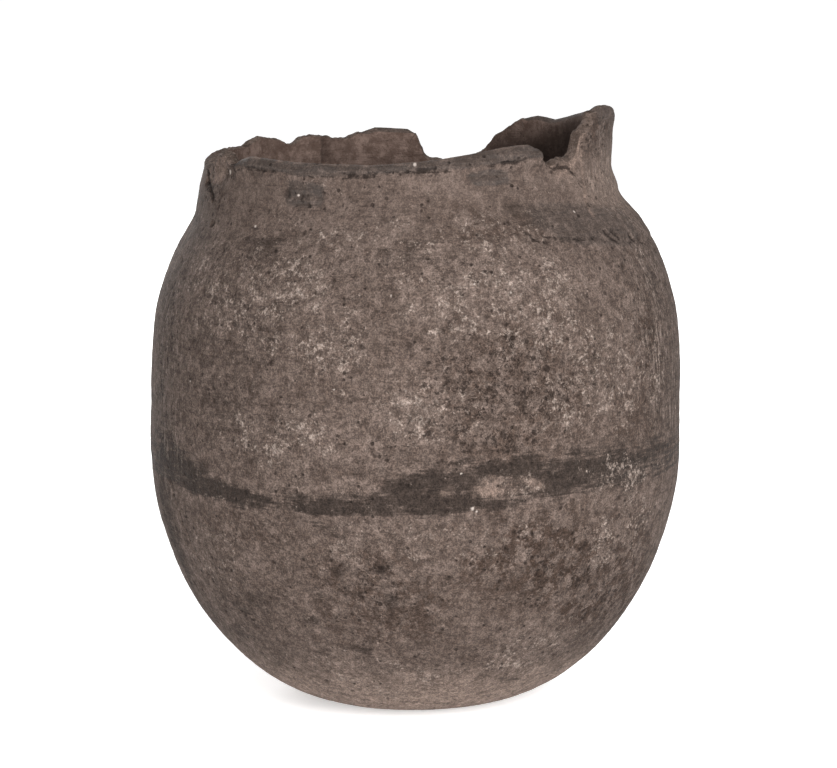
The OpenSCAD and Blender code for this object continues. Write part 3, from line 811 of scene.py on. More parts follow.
for j, name in enumerate(COILS):
    up = slice(first_row[j + 1], first_row[j + 2] + 1)
    down = slice(inner_first[j + 1], inner_first[j + 2] + 1)
    top = break_face if name == "mouth_coil" else joint_face(j + 1, True)
    foot = joint_face(j, False)
    at_skin = np.arange(len(top))[:, None] == 0              # the skin's stains end at its edge
    pieces[name] = ring(name + "_clay", [
        (OUTSIDE, outer[up], outer_normals[up], {key: mask[up] for key, mask in skin_masks.items()}),
        (BREAK, top, grid_normals(top), {key: at_skin * mask[up][-1:] for key, mask in skin_masks.items()}),
        (INSIDE, inner[down][::-1], inner_normals[down][::-1], {"soot_and_shade": soot_and_shade[down][::-1]}),
        (BREAK, foot, grid_normals(foot), {"soot_and_shade": np.repeat(soot_and_shade[down][:1], len(foot), 0)}),
    ])
print("%d rings of the wall" % len(pieces))

# %% [markdown]
# ## The floor disc
#
# The floor was a pressed pancake of clay. A disc cut like the rings would crowd hundreds of
# slivers at its centre, so each time the ring of faces gets narrow, it is joined to one with
# half as many columns. The seat stays flat, as the CAD's mount says.

# %% A web of rings that halves its columns
FACE_MM, FEWEST = 0.8, 27   # a face's least width, and the fewest columns at the centre

def thinned(radii):
    """For rings of these radii: how many columns apart each keeps its points."""
    keep = []
    for r in radii:
        every = 1
        while 2 * np.pi * r / (COLS / every) < FACE_MM and COLS // every > FEWEST:
            every *= 2
        keep.append(every)
    return keep

def web(counts, offsets):
    """Faces between rings of these counts, whose points start at these offsets."""
    faces = []
    for n, m, p, q in zip(counts[:-1], counts[1:], offsets[:-1], offsets[1:]):
        for k in range(min(n, m)):
            if n == m:
                faces.append((p + k, p + (k + 1) % n, q + (k + 1) % n, q + k))
            elif m == 2 * n:
                a, b = p + k, p + (k + 1) % n
                c, d, e = q + 2 * k, q + 2 * k + 1, q + (2 * k + 2) % m
                faces += [(a, d, c), (a, b, d), (b, e, d)]
            else:
                a, b, c = p + 2 * k, p + 2 * k + 1, p + (2 * k + 2) % n
                d, e = q + k, q + (k + 1) % m
                faces += [(a, b, d), (b, e, d), (b, c, e)]
    return faces

# %% Rings of the disc: the underside, the seat of the first coil, and the floor inside
under, over = slice(0, first_row[1] + 1), slice(0, inner_first[1] + 1)
disc_rows = list(outer[under]) + [joint_face(0, False)[1]] + list(inner[over][::-1])
keep = thinned([np.hypot(*row[:, :2].T).mean() for row in disc_rows])
edge_row = first_row[1]
keep[edge_row:edge_row + 3] = [1, 1, 1]
for k in range(edge_row - 1, -1, -1):              # one halving at a time, going inward
    keep[k] = min(keep[k], 2 * keep[k + 1])
for k in range(edge_row + 3, len(keep)):
    keep[k] = min(keep[k], 2 * keep[k - 1])
points = [row[::every] for row, every in zip(disc_rows, keep)]
counts = [len(row) for row in points]
offsets = [int(n) for n in np.concatenate([[0], np.cumsum(counts)])]
print("Disc: %d rings of %d to %d points" % (len(counts), min(counts), max(counts)))

# %% The disc's mesh
# how dark the floor inside is made
FLOOR_DARKENING = 0.7
last, total = offsets[-2:]
faces = web(counts, offsets[:-1])
faces += [(total, (k + 1) % counts[0], k) for k in range(counts[0])]
faces += [(last + k, last + (k + 1) % counts[-1], total + 1) for k in range(counts[-1])]
centres = np.array([[0, 0, 0], [0, 0, points[-1][:, 2].mean()]])
mesh = bpy.data.meshes.new("floor_disc_clay")
mesh.from_pydata((np.concatenate(points + [centres]) * MM).tolist(), [], faces)
mesh.polygons.foreach_set("use_smooth", np.ones(len(mesh.polygons), bool))
lowest = np.array([min(face) for face in faces])
slots = np.where(lowest >= offsets[edge_row + 2], INSIDE,
                 np.where(lowest >= offsets[edge_row], BREAK, OUTSIDE))
mesh.polygons.foreach_set("material_index", slots.astype(np.int32))
skin_end = offsets[edge_row + 1]
for key in MASKS:
    values = np.zeros(total + 2, np.float32)
    if key == "soot_and_shade":
        values[skin_end:] = FLOOR_DARKENING
    else:
        values[:skin_end] = np.concatenate([skin_masks[key][k, ::keep[k]] for k in range(edge_row + 1)])
    mesh.attributes.new(key, "FLOAT", "POINT").data.foreach_set("value", values)
mesh.set_sharp_from_angle(angle=math.radians(40))
pieces["floor_disc"] = bpy.data.objects.new("floor_disc_clay", mesh)
bpy.context.collection.objects.link(pieces["floor_disc"])
print("floor_disc_clay: %d faces" % len(mesh.polygons))

# %% [markdown]
# ## The folded lips
#
# The rim was a strip folded over the wall's edge and pressed down. Most has broken away; what is
# left sits on the mouth coil in three lengths. Each is a section swept along the rim: a smooth
# curve through the CAD's section points, thinner at both ends, seated on the coil's top. It
# takes its stains from a skin of its own, so that they run on from the wall.

# %% A smooth curve through the section's knots
STEPS_TO_KNOT = [7, 6, 7, 6, 8, 7, 6]     # rows between the knots

def spline(knots, steps):
    """A Catmull-Rom curve through knots, which are arrays of one row for each section."""
    padded = [knots[0] - 0.4 * (knots[1] - knots[0])] + knots + [2 * knots[-1] - knots[-2]]
    out = []
    for k, n in enumerate(steps):
        p0, p1, p2, p3 = padded[k:k + 4]
        for t in np.arange(n) / n:
            out.append(0.5 * (2 * p1 + (p2 - p0) * t + (2 * p0 - 5 * p1 + 4 * p2 - p3) * t ** 2
                              + (3 * p1 - p0 - 3 * p2 + p3) * t ** 3))
    return out + [knots[-1]]

# %% A strip's angles and its section
ROUND_END = "lip_front"   # its right end is rounded off; every other end is scarfed onto the coil
OVERHANG, SCARF = 1.9, 0.98 * CAD_STEP   # degrees that such an end runs past its seat
PROUD = {"lip_front": (1, 1), "lip_back": (.3, .3), "lip_right": (.15, .5)}   # at each end
PROUD_RUN = 14   # degrees from an end to where the strip stands more evenly

def strip_angles(name, start, end):
    """Angles along a strip, two for each column of the wall."""
    first, last = start - SCARF, end + (OVERHANG if name == ROUND_END else SCARF)
    n = int(round((last - first) / 360 * COLS * 2))
    return first + (last - first) * np.arange(n + 1) / n

def rounded_off(a):
    """How full a section is towards a rounded end: a taper of 5 mm and a nose of 2 mm."""
    from_end = (a[-1] - a) * np.radians(1) * THROAT_R
    taper, nose = np.clip(from_end / 5, 0, 1), np.clip(from_end / 2, 0, 1)
    return (0.9 + 0.1 * np.sqrt(1 - (1 - taper) ** 2)) * (0.35 + 0.65 * np.sqrt(1 - (1 - nose) ** 2))

def strip_section(name, a, end):
    """Rows of a section at each angle: height over the coil's top, and distance out of the wall."""
    top = coil_top_s(a)
    t = thickness(top)
    full = rounded_off(a) if name == ROUND_END else 1.0
    rim = edge_s(np.minimum(a, end)) if name == ROUND_END else edge_s(a)
    h = (rim - top) * full
    left, right = PROUD[name]
    proud = np.interp(a, [a[0], a[0] + PROUD_RUN, a[-1] - PROUD_RUN, a[-1]],
                      [left, blend(left, right, 0.4), blend(left, right, 0.8), right])
    proud = LIP_PROUD * full * proud * np.clip(h / LIP_H, 0.05, 1)
    lap, none = np.full(len(a), -LIP_LAP), np.zeros(len(a))
    knots = [(lap, none), (.1 * h, .9 * proud), (.48 * h, .95 * proud), (.82 * h, .1 * proud - .06 * t),
             (h, -.42 * t), (.86 * h, -.82 * t), (.45 * h, -t), (none, -t)]
    return np.stack(spline([np.stack(knot, -1) for knot in knots], STEPS_TO_KNOT))

# %% A strip's shape
SEAT_STEPS = 4

def strip_shape(a, section, skin, relief):
    """The strip's face from its outer foot over the top to its inner foot, and its seat."""
    top = coil_top_s(a)
    shape = clay_point(a, skin.s, -section[..., 1])
    row = np.arange(len(section))[:, None]
    outside = 1 - ease((row - 18) / 10)                      # 1 on the outer face, 0 on top
    inside = ease((row - 32) / 8)                            # 1 on the inner face
    grooves = noise(shape, (30, 30, 1.5), 81) * (0.14 + 0.2 * ease((a - 280) / 20) * (a < 308))
    lumps = layered(shape, [(0.25, 14, 82), (0.07, 3, 83), (0.04, 1.5, 84)])
    move = outside * (relief + grooves * ease(row / 8)) + inside * wiped(shape, a, shape[..., 2])
    move = move + (1 - outside) * (1 - inside) * (lumps - 0.15)
    shape = shape + grid_normals(shape, closed=False) * move[..., None]
    shape[0] = clay_point(a, skin.s[0], -relief[0])
    coil = Skin(a[None, :], top[None, :])
    corner = clay_point(a, top, 0.03 - relief_of(coil, marks_of(coil))[0])   # where the moved wall ends
    shape[-1] = clay_point(a, top, thickness(top) + wiped(shape[-1], a, shape[-1][..., 2]))
    seat = np.stack([blend(shape[-1], corner, k / SEAT_STEPS) for k in range(1, SEAT_STEPS + 1)])
    return shape, seat

# %% A strip's stains and its ends
def stain_strip(name, a, section, skin, marks):
    """Adds the grey slip of the rim, and its rubbed top edge, to a strip's marks."""
    front = name == "lip_front"
    low_edge = (skin.z - along(GROOVE, a) + skin.ragged(1.5)) / 1.6 + 0.3
    grey = 0.9 * ease(low_edge) if front else 0.45 * ease((section[..., 0] + 1.5 + skin.ragged(2)) / 3)
    row = np.arange(len(section))[:, None]
    rubbed = np.exp(-((row - 25) / 2.5) ** 2) * np.clip(0.7 + skin.wobble[7], 0, 1)
    marks["slip"] = np.maximum(marks["slip"], grey)
    marks["flake"] = np.maximum(marks["flake"], (0.7 if front else 0.35) * rubbed)

def end_caps(index, a):
    """Quads that close both ends from one side of the section to the other, and their normals."""
    rows = len(index)
    faces, normals = [], []
    for at, side in ((0, -1), (-1, 1)):
        end = index[:, at]
        for k in range(rows // 2 - 1):
            faces.append([end[k], end[k + 1], end[rows - 2 - k], end[rows - 1 - k]][::side])
            normals.append([side * np.array([-sind(a[at]), cosd(a[at]), 0])] * 4)
    return np.array(faces), np.array(normals)

# %% The three strips
INNER_FROM = 36   # rows of the section past this one are on the inner face
CAP_UV = np.array([(0, 0), (0.007, 0), (0.007, 0.02), (0, 0.02)])   # a place on the map for each cap's quad

def lip_piece(name, start, end):
    a = strip_angles(name, start, end)
    section = strip_section(name, a, end)
    skin = Skin(a[None, :], coil_top_s(a) + section[..., 0])
    marks = marks_of(skin)
    shape, seat = strip_shape(a, section, skin, relief_of(skin, marks))
    stain_strip(name, a, section, skin, marks)
    seat_normals = grid_normals(np.concatenate([shape[-1:], seat, shape[:1]]), closed=False)
    normals = np.concatenate([quads(grid_normals(shape, closed=False)), quads(seat_normals)])
    shape = np.concatenate([shape, seat])
    rows, cols = len(shape), len(a)
    index = np.arange(rows * cols).reshape(rows, cols)
    faces = quads(np.concatenate([index, index[:1]])).reshape(-1, 4)
    caps, cap_normals = end_caps(index, a)
    cuts = 1 if name == "lip_back" else 2                    # the short strip needs no cut on the map
    uv = strips(rows, cols - 1, np.ones(rows), cuts).reshape(-1, 4, 2) * [1, 0.96]
    cap_uv = np.array([CAP_UV + [0.002 + 0.009 * k, 0.97] for k in range(len(caps))])
    blank = np.zeros((rows, cols))
    masks = {key: np.concatenate([marks.get(key, blank)[:len(section)], blank[:SEAT_STEPS]]).ravel()
             for key in MASKS}
    masks["soot_and_shade"] = soot_and_shade_of(shape, a, shape[..., 2]).ravel()
    slots = np.repeat(np.where(np.arange(rows) > INNER_FROM, INSIDE, OUTSIDE), cols - 1)
    return mesh_object(name + "_clay", shape.reshape(-1, 3), np.concatenate([faces, caps]),
                       np.concatenate([slots, np.full(len(caps), BREAK)]),
                       np.concatenate([normals.reshape(-1, 4, 3), cap_normals]),
                       np.concatenate([uv, cap_uv]), masks)

for name, (start, end) in LIPS.items():
    pieces[name] = lip_piece(name, start, end)
    print("%s: %d faces" % (name, len(pieces[name].data.polygons)))

# %% [markdown]
# ## Node tools
#
# Materials are graphs of nodes. Written out call by call they are long, so a small helper puts a
# node in a tree, sets or links its inputs, and hands back its output. Effects that several
# materials use become node groups with named inputs and outputs.

# %% A helper for nodes
class Tree:
    """Puts nodes in a tree; an input is a number, a tuple or the output of another node."""
    def __init__(self, tree):
        self.tree = tree

    def put(self, kind, inputs=None, **settings):
        node = self.tree.nodes.new("ShaderNode" + kind)
        for key, value in settings.items():
            setattr(node, key, value)
        for key, value in (inputs or {}).items():
            if isinstance(value, bpy.types.NodeSocket):
                self.tree.links.new(value, node.inputs[key])
            else:
                node.inputs[key].default_value = value
        return node

    def maths(self, operation, a, b=0.0):
        return self.put("Math", {0: a, 1: b}, operation=operation).outputs[0]

    def between(self, value, low, high, to_low=0.0, to_high=1.0):
        """value from low to high turned smoothly into to_low to to_high."""
        return self.put("MapRange", {"Value": value, "From Min": low, "From Max": high, "To Min": to_low,
                                     "To Max": to_high}, interpolation_type="SMOOTHSTEP").outputs[0]

    def mix(self, share, a, b, blend_type="MIX"):
        node = self.put("Mix", {"Factor": share}, data_type="RGBA", blend_type=blend_type)
        for key, value in ((6, a), (7, b)):
            if isinstance(value, bpy.types.NodeSocket):
                self.tree.links.new(value, node.inputs[key])
            else:
                node.inputs[key].default_value = value
        return node.outputs[2]

    def times(self, a, b):
        return self.maths("MULTIPLY", a, b)

    def plus(self, *values):
        out = values[0]
        for value in values[1:]:
            out = self.maths("ADD", out, value)
        return out

    def noise(self, vector, scale, detail=2.0, roughness=0.5):
        return self.put("TexNoise", {"Vector": vector, "Scale": scale, "Detail": detail,
                                     "Roughness": roughness}).outputs["Fac"]

# %% Node groups, and a colour as seen
def group(name, inputs, outputs):
    """A new node group with these sockets, and the Tree to fill it."""
    tree = bpy.data.node_groups.new(name, "ShaderNodeTree")
    for label, kind, value in inputs:
        socket = tree.interface.new_socket(label, in_out="INPUT", socket_type="NodeSocket" + kind)
        if value is not None:
            socket.default_value = value
    for label, kind in outputs:
        tree.interface.new_socket(label, in_out="OUTPUT", socket_type="NodeSocket" + kind)
    given, gives = tree.nodes.new("NodeGroupInput").outputs, tree.nodes.new("NodeGroupOutput").inputs
    return tree, Tree(tree), given, gives

def clay(red, green, blue):
    """A colour given as on a screen, 0 to 255, as the light that the shader wants."""
    return tuple(((c / 255 + 0.055) / 1.055) ** 2.4 for c in (red, green, blue)) + (1.0,)

# %% [markdown]
# ## Clay mottle
#
# Low-fired clay is never one colour: it has clouds as wide as a hand, blotches of a few
# millimetres, and a salt and pepper of grit at the edge of sight. One noise with many octaves
# looks like smoke, so five noises at those scales are kept apart and weighed in each material.

# %% Group: clay mottle
mottle_group, t, given, gives = group(
    "clay mottle", [("Position", "Vector", None), ("Blotch size", "Float", 1.0)],
    [(label, "Float") for label in ("Clouds", "Patches", "Blotches", "Crumbs", "Grain")])
finer = t.put("VectorMath", {0: given["Position"], "Scale": given["Blotch size"]}, operation="SCALE")
finer = finer.outputs[0]
for label, vector, scale, detail, rough, low, high in (
        ("Clouds", given["Position"], 26, 3, 0.6, 0.3, 0.7), ("Patches", finer, 135, 6, 0.78, 0.41, 0.59),
        ("Blotches", finer, 170, 6, 0.78, 0.34, 0.66), ("Crumbs", finer, 480, 4, 0.75, 0.36, 0.64),
        ("Grain", finer, 1500, 2, 0.7, 0.32, 0.68)):
    t.tree.links.new(t.between(t.noise(vector, scale, detail, rough), low, high), gives[label])
print("clay mottle: %d nodes" % len(mottle_group.nodes))

# %% [markdown]
# ## Pinholes
#
# Chaff burned out of the clay and left holes, most of them too small for the mesh. They could be
# dents in a finer one, but there are thousands. A cell pattern gives each a place and a lot. The
# lot decides whether there is a hole and how wide it is, and a fine noise frays its edge.

# %% Group: pinholes
pin_group, t, given, gives = group(
    "pinholes", [("Position", "Vector", None), ("Scale", "Float", 300.0), ("Amount", "Float", 0.5)],
    [("Mask", "Float")])
cells = t.put("TexVoronoi", {"Vector": given["Position"], "Scale": given["Scale"], "Randomness": 1.0})
lot = t.put("SeparateColor", {0: cells.outputs["Color"]}).outputs[0]
edge = t.times(t.noise(given["Position"], 900, 2, 0.6), 0.3)
wide = t.times(t.maths("SUBTRACT", t.plus(lot, given["Amount"]), 1.0), 0.85)
near = t.maths("SUBTRACT", wide, t.plus(cells.outputs["Distance"], edge))
t.tree.links.new(t.between(near, -0.14, 0.04), gives["Mask"])
print("pinholes: %d nodes" % len(pin_group.nodes))

# %% [markdown]
# ## Crust
#
# Pale salts and lime sit on the skin in clusters, from a faint halo to a chalky core, and worn
# hollows cluster in the same way. Scattered dots would look like spray. Three noises are added
# and cut at a level that Amount lowers, so that small islands grow and join.

# %% Group: crust
crust_group, t, given, gives = group(
    "crust", [("Position", "Vector", None), ("Amount", "Float", 0.5)],
    [("Halo", "Float"), ("Mask", "Float"), ("Core", "Float")])
clumps = t.noise(given["Position"], 120, 3, 0.6)
crumbs = t.noise(given["Position"], 300, 4, 0.75)
specks = t.noise(given["Position"], 950, 2, 0.7)
height = t.plus(t.times(clumps, 0.25), t.times(crumbs, 0.42), t.times(specks, 0.33))
level = t.maths("SUBTRACT", 0.643, t.times(given["Amount"], 0.125))
over = t.maths("SUBTRACT", height, level)
t.tree.links.new(t.between(over, -0.07, 0.01), gives["Halo"])
t.tree.links.new(t.between(over, -0.012, 0.03), gives["Mask"])
t.tree.links.new(t.between(over, 0.035, 0.075), gives["Core"])
print("crust: %d nodes" % len(crust_group.nodes))

# %% [markdown]
# ## Drag marks
#
# A wet hand, a rag or a scraper leaves fine lines, level round the jar or upright on its flanks.
# A wave texture would be too even, so a noise is squeezed across the lines instead.

# %% Group: drag marks
drag_group, t, given, gives = group(
    "drag marks", [("Position", "Vector", None), ("Stretch", "Vector", (1.0, 1.0, 12.0))],
    [("Lines", "Float")])
run = t.put("VectorMath", {0: given["Position"], 1: given["Stretch"]}, operation="MULTIPLY").outputs[0]
t.tree.links.new(t.between(t.noise(run, 60, 4, 0.7), 0.32, 0.68), gives["Lines"])
print("drag marks: %d nodes" % len(drag_group.nodes))

# %% [markdown]
# ## Colours and the end of a material
#
# Colours were matched to the photograph and are given as they look on a screen. Unglazed
# clay hardly shines, so the shader's specular level is low and all its life comes from the bump.

# %% Palette and shader
BROWN, PALE, DEEP = clay(82, 70, 64), clay(106, 93, 86), clay(49, 39, 33)
WARM_BROWN, SMOKE, SLIP_GREY = clay(47, 35, 28), clay(37, 30, 26), clay(59, 53, 50)
BLOOM_PALE, LIME, PIT_DARK = clay(123, 110, 102), clay(165, 154, 146), clay(24, 17, 14)
# DUST_AND_FOOT_LIGHT is the pale of dust on the neck and of painted light on the foot
FRESH, DUST_AND_FOOT_LIGHT = clay(110, 94, 85), clay(134, 117, 107)

def material(name):
    mat = bpy.data.materials.new(name)
    mat.use_nodes = True
    mat.node_tree.nodes.clear()
    return mat, Tree(mat.node_tree)

def finished(t, colour, rough, height, distance, glow=0.0):
    """Ends a material: the shader with its colour, roughness and a bump from height."""
    bump = t.put("Bump", {"Height": height, "Distance": distance, "Strength": 1.0})
    shader = t.put("BsdfPrincipled", {"Base Color": colour, "Roughness": rough, "Normal": bump.outputs[0]})
    shader.inputs["Specular IOR Level"].default_value = 0.1
    shader.inputs["Emission Strength"].default_value = glow
    t.put("OutputMaterial", {"Surface": shader.outputs[0]})

def mask_of(t, name):
    return t.put("Attribute", attribute_name=name).outputs["Fac"]

# %% [markdown]
# ## The clay of the outer face
#
# The skin is a matte grey-brown. Over the bare clay go, one after the other: warm brown where the
# skin has worn, dark clouds and the smoked band, grey slip, streaks, the pale bloom, and the dark
# pits. The masks come from the mesh, and each gets a fringe of noise here, finer than the mesh.

# %% Layers: bare clay, smoke and slip
def bare_clay(t, mottle, smooth):
    """Mottled brown, calmer where wiped smooth, dusty at the neck, and paler by the foot as painted light
    from below.
    """
    colour = t.mix(mottle["Blotches"], DEEP, PALE)
    colour = t.mix(t.between(smooth, 0, 1, 0.5, 0.36), BROWN, colour)
    colour = t.mix(t.times(mottle["Clouds"], 0.25), colour, DEEP)
    # painted light on the foot, and dust at the neck
    dust_and_foot_light = t.times(mask_of(t, "dust_and_foot_light"), t.between(mottle["Blotches"], 0, 1, 0.55, 0.9))
    return t.mix(dust_and_foot_light, colour, DUST_AND_FOOT_LIGHT)

def smoked(t, colour, mottle, level):
    """Clouds and the smoked band, drawn out in level streaks."""
    cloud = t.plus(mask_of(t, "cloud"), t.times(level, 0.3), t.times(mottle["Blotches"], -0.15))
    colour = t.mix(t.times(t.between(cloud, 0.1, 1.0), 0.8), colour, SMOKE)
    streaks = t.plus(t.times(t.maths("SUBTRACT", level, 0.5), 0.75), t.times(mottle["Blotches"], -0.25))
    band = t.between(t.plus(mask_of(t, "band"), streaks), -0.05, 0.8)
    return t.mix(t.times(band, 0.86), colour, SMOKE), band

def slipped(t, colour, mottle, level):
    """Grey slip with the strokes of the hand that wiped it on."""
    slip = t.times(mask_of(t, "slip"), t.between(mottle["Blotches"], 0.95, 0.2, 0.6, 1.0))
    colour = t.mix(t.times(slip, 0.85), colour, SLIP_GREY)
    strokes = t.times(slip, t.between(level, 0.6, 0.25))
    return t.mix(t.times(strokes, 0.5), colour, DEEP), slip

# %% Layers: streaks, bloom and grain
def streaked(t, colour, mottle, upright, streaky):
    """Dark and pale runs down both flanks."""
    dark = t.times(streaky, t.between(upright, 0.55, 0.25))
    colour = t.mix(t.times(dark, 0.42), colour, DEEP)
    pale = t.times(streaky, t.between(upright, 0.5, 0.8))
    return t.mix(t.times(pale, t.between(mottle["Patches"], 0.3, 0.9, 0, 0.45)), colour, BLOOM_PALE)

def bloomed(t, colour, place, amount):
    """Pale salts in clusters, each with a faint halo and a chalky core."""
    bloom = t.put("Group", {"Position": place, "Amount": amount}, node_tree=crust_group).outputs
    for part, share, tint in (("Halo", 0.12, BLOOM_PALE), ("Mask", 0.6, BLOOM_PALE), ("Core", 0.2, LIME)):
        colour = t.mix(t.times(bloom[part], share), colour, tint)
    return colour, bloom["Mask"]

def grained(t, colour, mottle, calm):
    """Salt and pepper over the colour, weaker where calm is high."""
    tone = t.times(t.between(mottle["Grain"], 0, 1, 0.68, 1.32),
                   t.between(mottle["Crumbs"], 0, 1, 0.76, 1.24))
    tone = t.plus(t.times(tone, t.maths("SUBTRACT", 1.0, calm)), calm)
    grey = t.put("CombineColor", {0: tone, 1: tone, 2: tone}).outputs[0]
    return t.mix(1.0, colour, grey, "MULTIPLY")

# %% Layers: hollows, seams and the painted shadow under the lip
def hollows(t, place, warm):
    """Pinholes, coarse holes, and clusters where the skin has worn."""
    pitted = mask_of(t, "pitted")
    turned = t.put("VectorMath", {0: place, 1: (0.31, 0.17, 0.23)}, operation="ADD").outputs[0]
    wear = t.plus(t.times(pitted, 0.7), t.times(warm, 0.15), 0.08)
    worn = t.put("Group", {"Position": turned, "Amount": wear}, node_tree=crust_group).outputs["Mask"]
    holes = t.times(worn, 0.8)
    for scale, amount in ((360, t.plus(t.times(pitted, 0.15), 0.42)), (170, t.times(pitted, 0.45))):
        pins = t.put("Group", {"Position": place, "Scale": scale, "Amount": amount}, node_tree=pin_group)
        holes = t.maths("MAXIMUM", holes, pins.outputs[0])
    return holes

def seams_and_shadows(t, mottle, level):
    """The painted shadow under the front lip, the step and the cracks, broken up by grain."""
    broken = t.plus(t.times(t.maths("SUBTRACT", level, 0.6), 0.5), t.times(mottle["Crumbs"], -0.35))
    return t.between(t.plus(mask_of(t, "seam_and_shadow"), broken), 0.1, 0.75)

# %% Material: outer clay
NECK_WIPED = (0.195, 0.22)   # between these heights, in metres, the clay goes from rough to smooth

def outer_clay(name):
    """The weathered skin: every layer above, from the bare clay to the dark hollows."""
    mat, t = material(name)
    place = t.put("TexCoord").outputs["Object"]
    mottle = t.put("Group", {"Position": place}, node_tree=mottle_group).outputs
    level, upright = (t.put("Group", {"Position": place, "Stretch": stretch}, node_tree=drag_group).outputs[0]
                      for stretch in ((1, 1, 14), (14, 14, 1)))
    smooth = t.between(t.put("SeparateXYZ", {0: place}).outputs["Z"], *NECK_WIPED)
    streaky = mask_of(t, "streaky")
    colour = bare_clay(t, mottle, smooth)
    warm = t.times(mask_of(t, "warm"), t.between(mottle["Patches"], 0.62, 0.28))
    colour = t.mix(t.times(warm, 0.85), colour, WARM_BROWN)
    colour, band = smoked(t, colour, mottle, level)
    colour, slip = slipped(t, colour, mottle, level)
    colour = streaked(t, colour, mottle, upright, streaky)
    drawn = t.plus(t.times(upright, streaky), t.times(0.5, t.maths("SUBTRACT", 1.0, streaky)), -0.5)
    amount = t.plus(t.times(mask_of(t, "bloom"), 0.75), t.times(drawn, 0.8), t.times(band, 0.05),
                    t.times(slip, -0.3), 0.25)
    colour, bloom = bloomed(t, colour, place, amount)
    for mask, share in (("crumbled", t.between(mottle["Patches"], 0.2, 0.9, 0.0, 0.6)),
                        ("flake", t.between(mottle["Blotches"], 0.2, 0.8, 0.3, 0.95))):
        colour = t.mix(t.times(mask_of(t, mask), share), colour, FRESH)
    colour = grained(t, colour, mottle, t.maths("MAXIMUM", t.times(smooth, 0.3), t.times(slip, 0.5)))
    holes, seam_and_shadow = hollows(t, place, warm), seams_and_shadows(t, mottle, level)
    sunk = t.times(t.maths("MAXIMUM", holes, mask_of(t, "pits")), 0.7)
    # the dark of pits, cracks and the painted shadow under the front lip
    colour = t.mix(t.maths("MAXIMUM", sunk, t.times(seam_and_shadow, 0.75)), colour, PIT_DARK)
    colour = t.mix(t.between(mask_of(t, "speck"), 0.4, 0.9), colour, LIME)
    height = t.plus(t.times(mottle["Blotches"], 0.5), t.times(mottle["Grain"], 0.3),
                    t.times(mottle["Crumbs"], 0.5), t.times(level, 0.25),
                    t.times(t.times(upright, streaky), 0.5), t.times(holes, -1.4),
                    t.times(seam_and_shadow, -1.2), t.times(bloom, 0.35))
    finished(t, colour, t.between(t.plus(band, slip), 0, 1.2, 0.88, 0.7), height, 0.0005)
    return mat

# %% [markdown]
# ## Inner clay, fracture and lip
#
# The inside is a browner, wiped clay, darker towards the depth, with soot and painted shade. The
# fracture shows the core of the wall: crumbly, lighter brown and full of grit. The lips are the
# outer clay again, because their grey comes from the slip mask.

# %% Materials: inner clay and fracture
def inner_clay():
    """Wiped brown, with level drag marks, soot and painted shade, and a few pinholes."""
    mat, t = material("inner_clay")
    place = t.put("TexCoord").outputs["Object"]
    mottle = t.put("Group", {"Position": place}, node_tree=mottle_group).outputs
    level = t.put("Group", {"Position": place, "Stretch": (1, 1, 8)}, node_tree=drag_group).outputs[0]
    colour = t.mix(mottle["Blotches"], clay(80, 65, 58), clay(113, 96, 88))
    colour = t.mix(t.between(mottle["Patches"], 0.6, 0.1, 0, 0.55), colour, clay(64, 50, 43))
    colour = t.mix(t.times(level, 0.22), colour, clay(66, 52, 46))
    # soot, and painted shade on the right inner wall
    soot_and_shade = t.times(mask_of(t, "soot_and_shade"), t.between(mottle["Clouds"], 0, 1, 0.7, 1.0))
    colour = t.mix(t.times(soot_and_shade, 0.9), colour, clay(34, 25, 21))
    spots = t.put("Group", {"Position": place, "Scale": 150, "Amount": 0.3}, node_tree=pin_group)
    spots = spots.outputs[0]
    colour = t.mix(t.times(spots, 0.5), colour, PIT_DARK)
    height = t.plus(mottle["Blotches"], t.times(mottle["Grain"], 0.4), t.times(level, 0.6),
                    t.times(spots, -1))
    finished(t, colour, t.between(mottle["Grain"], 0, 1, 0.85, 0.95), height, 0.0004)
    return mat

def fracture_clay():
    """The crumbly core of the wall, where it broke."""
    mat, t = material("fracture_clay")
    place = t.put("TexCoord").outputs["Object"]
    mottle = t.put("Group", {"Position": place, "Blotch size": 1.6}, node_tree=mottle_group).outputs
    colour = t.mix(mottle["Blotches"], clay(84, 69, 61), clay(124, 108, 99))
    colour = t.mix(t.times(mottle["Grain"], 0.35), colour, clay(140, 125, 116))
    colour = t.mix(t.between(mottle["Patches"], 0.8, 0.2, 0, 0.5), colour, WARM_BROWN)
    holes = t.put("Group", {"Position": place, "Scale": 420, "Amount": 0.5}, node_tree=pin_group)
    holes = holes.outputs[0]
    colour = t.mix(t.times(holes, 0.65), colour, PIT_DARK)
    height = t.plus(mottle["Blotches"], mottle["Grain"], t.times(mottle["Crumbs"], 0.8),
                    t.times(holes, -1))
    finished(t, colour, t.between(mottle["Grain"], 0, 1, 0.9, 0.97), height, 0.0007)
    return mat

OUTER = {part: outer_clay(part + "_clay") for part in ("bowl", "wall", "lip")}
INNER, CORE = inner_clay(), fracture_clay()
print("Materials:", sorted(mat.name for mat in bpy.data.materials))

# %% [markdown]
# ## Handing the pieces to the frame
#
# Each piece stands for one CAD node, whose own mesh is hidden, and rides on the only body: a jar
# has no joints that move.

# %% Slots, nodes and the body
BOWL = ["floor_disc", "bowl_coil_lower", "bowl_coil_middle", "bowl_coil_upper"]
for node, piece in pieces.items():
    part = "bowl" if node in BOWL else "lip" if node in LIPS else "wall"
    piece.data.materials.append(OUTER[part])
    piece.data.materials.append(CORE)
    piece.data.materials.append(INNER)
    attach(piece, "root")
    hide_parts(node)
print("%d pieces, %d faces" % (len(pieces), sum(len(p.data.polygons) for p in pieces.values())))

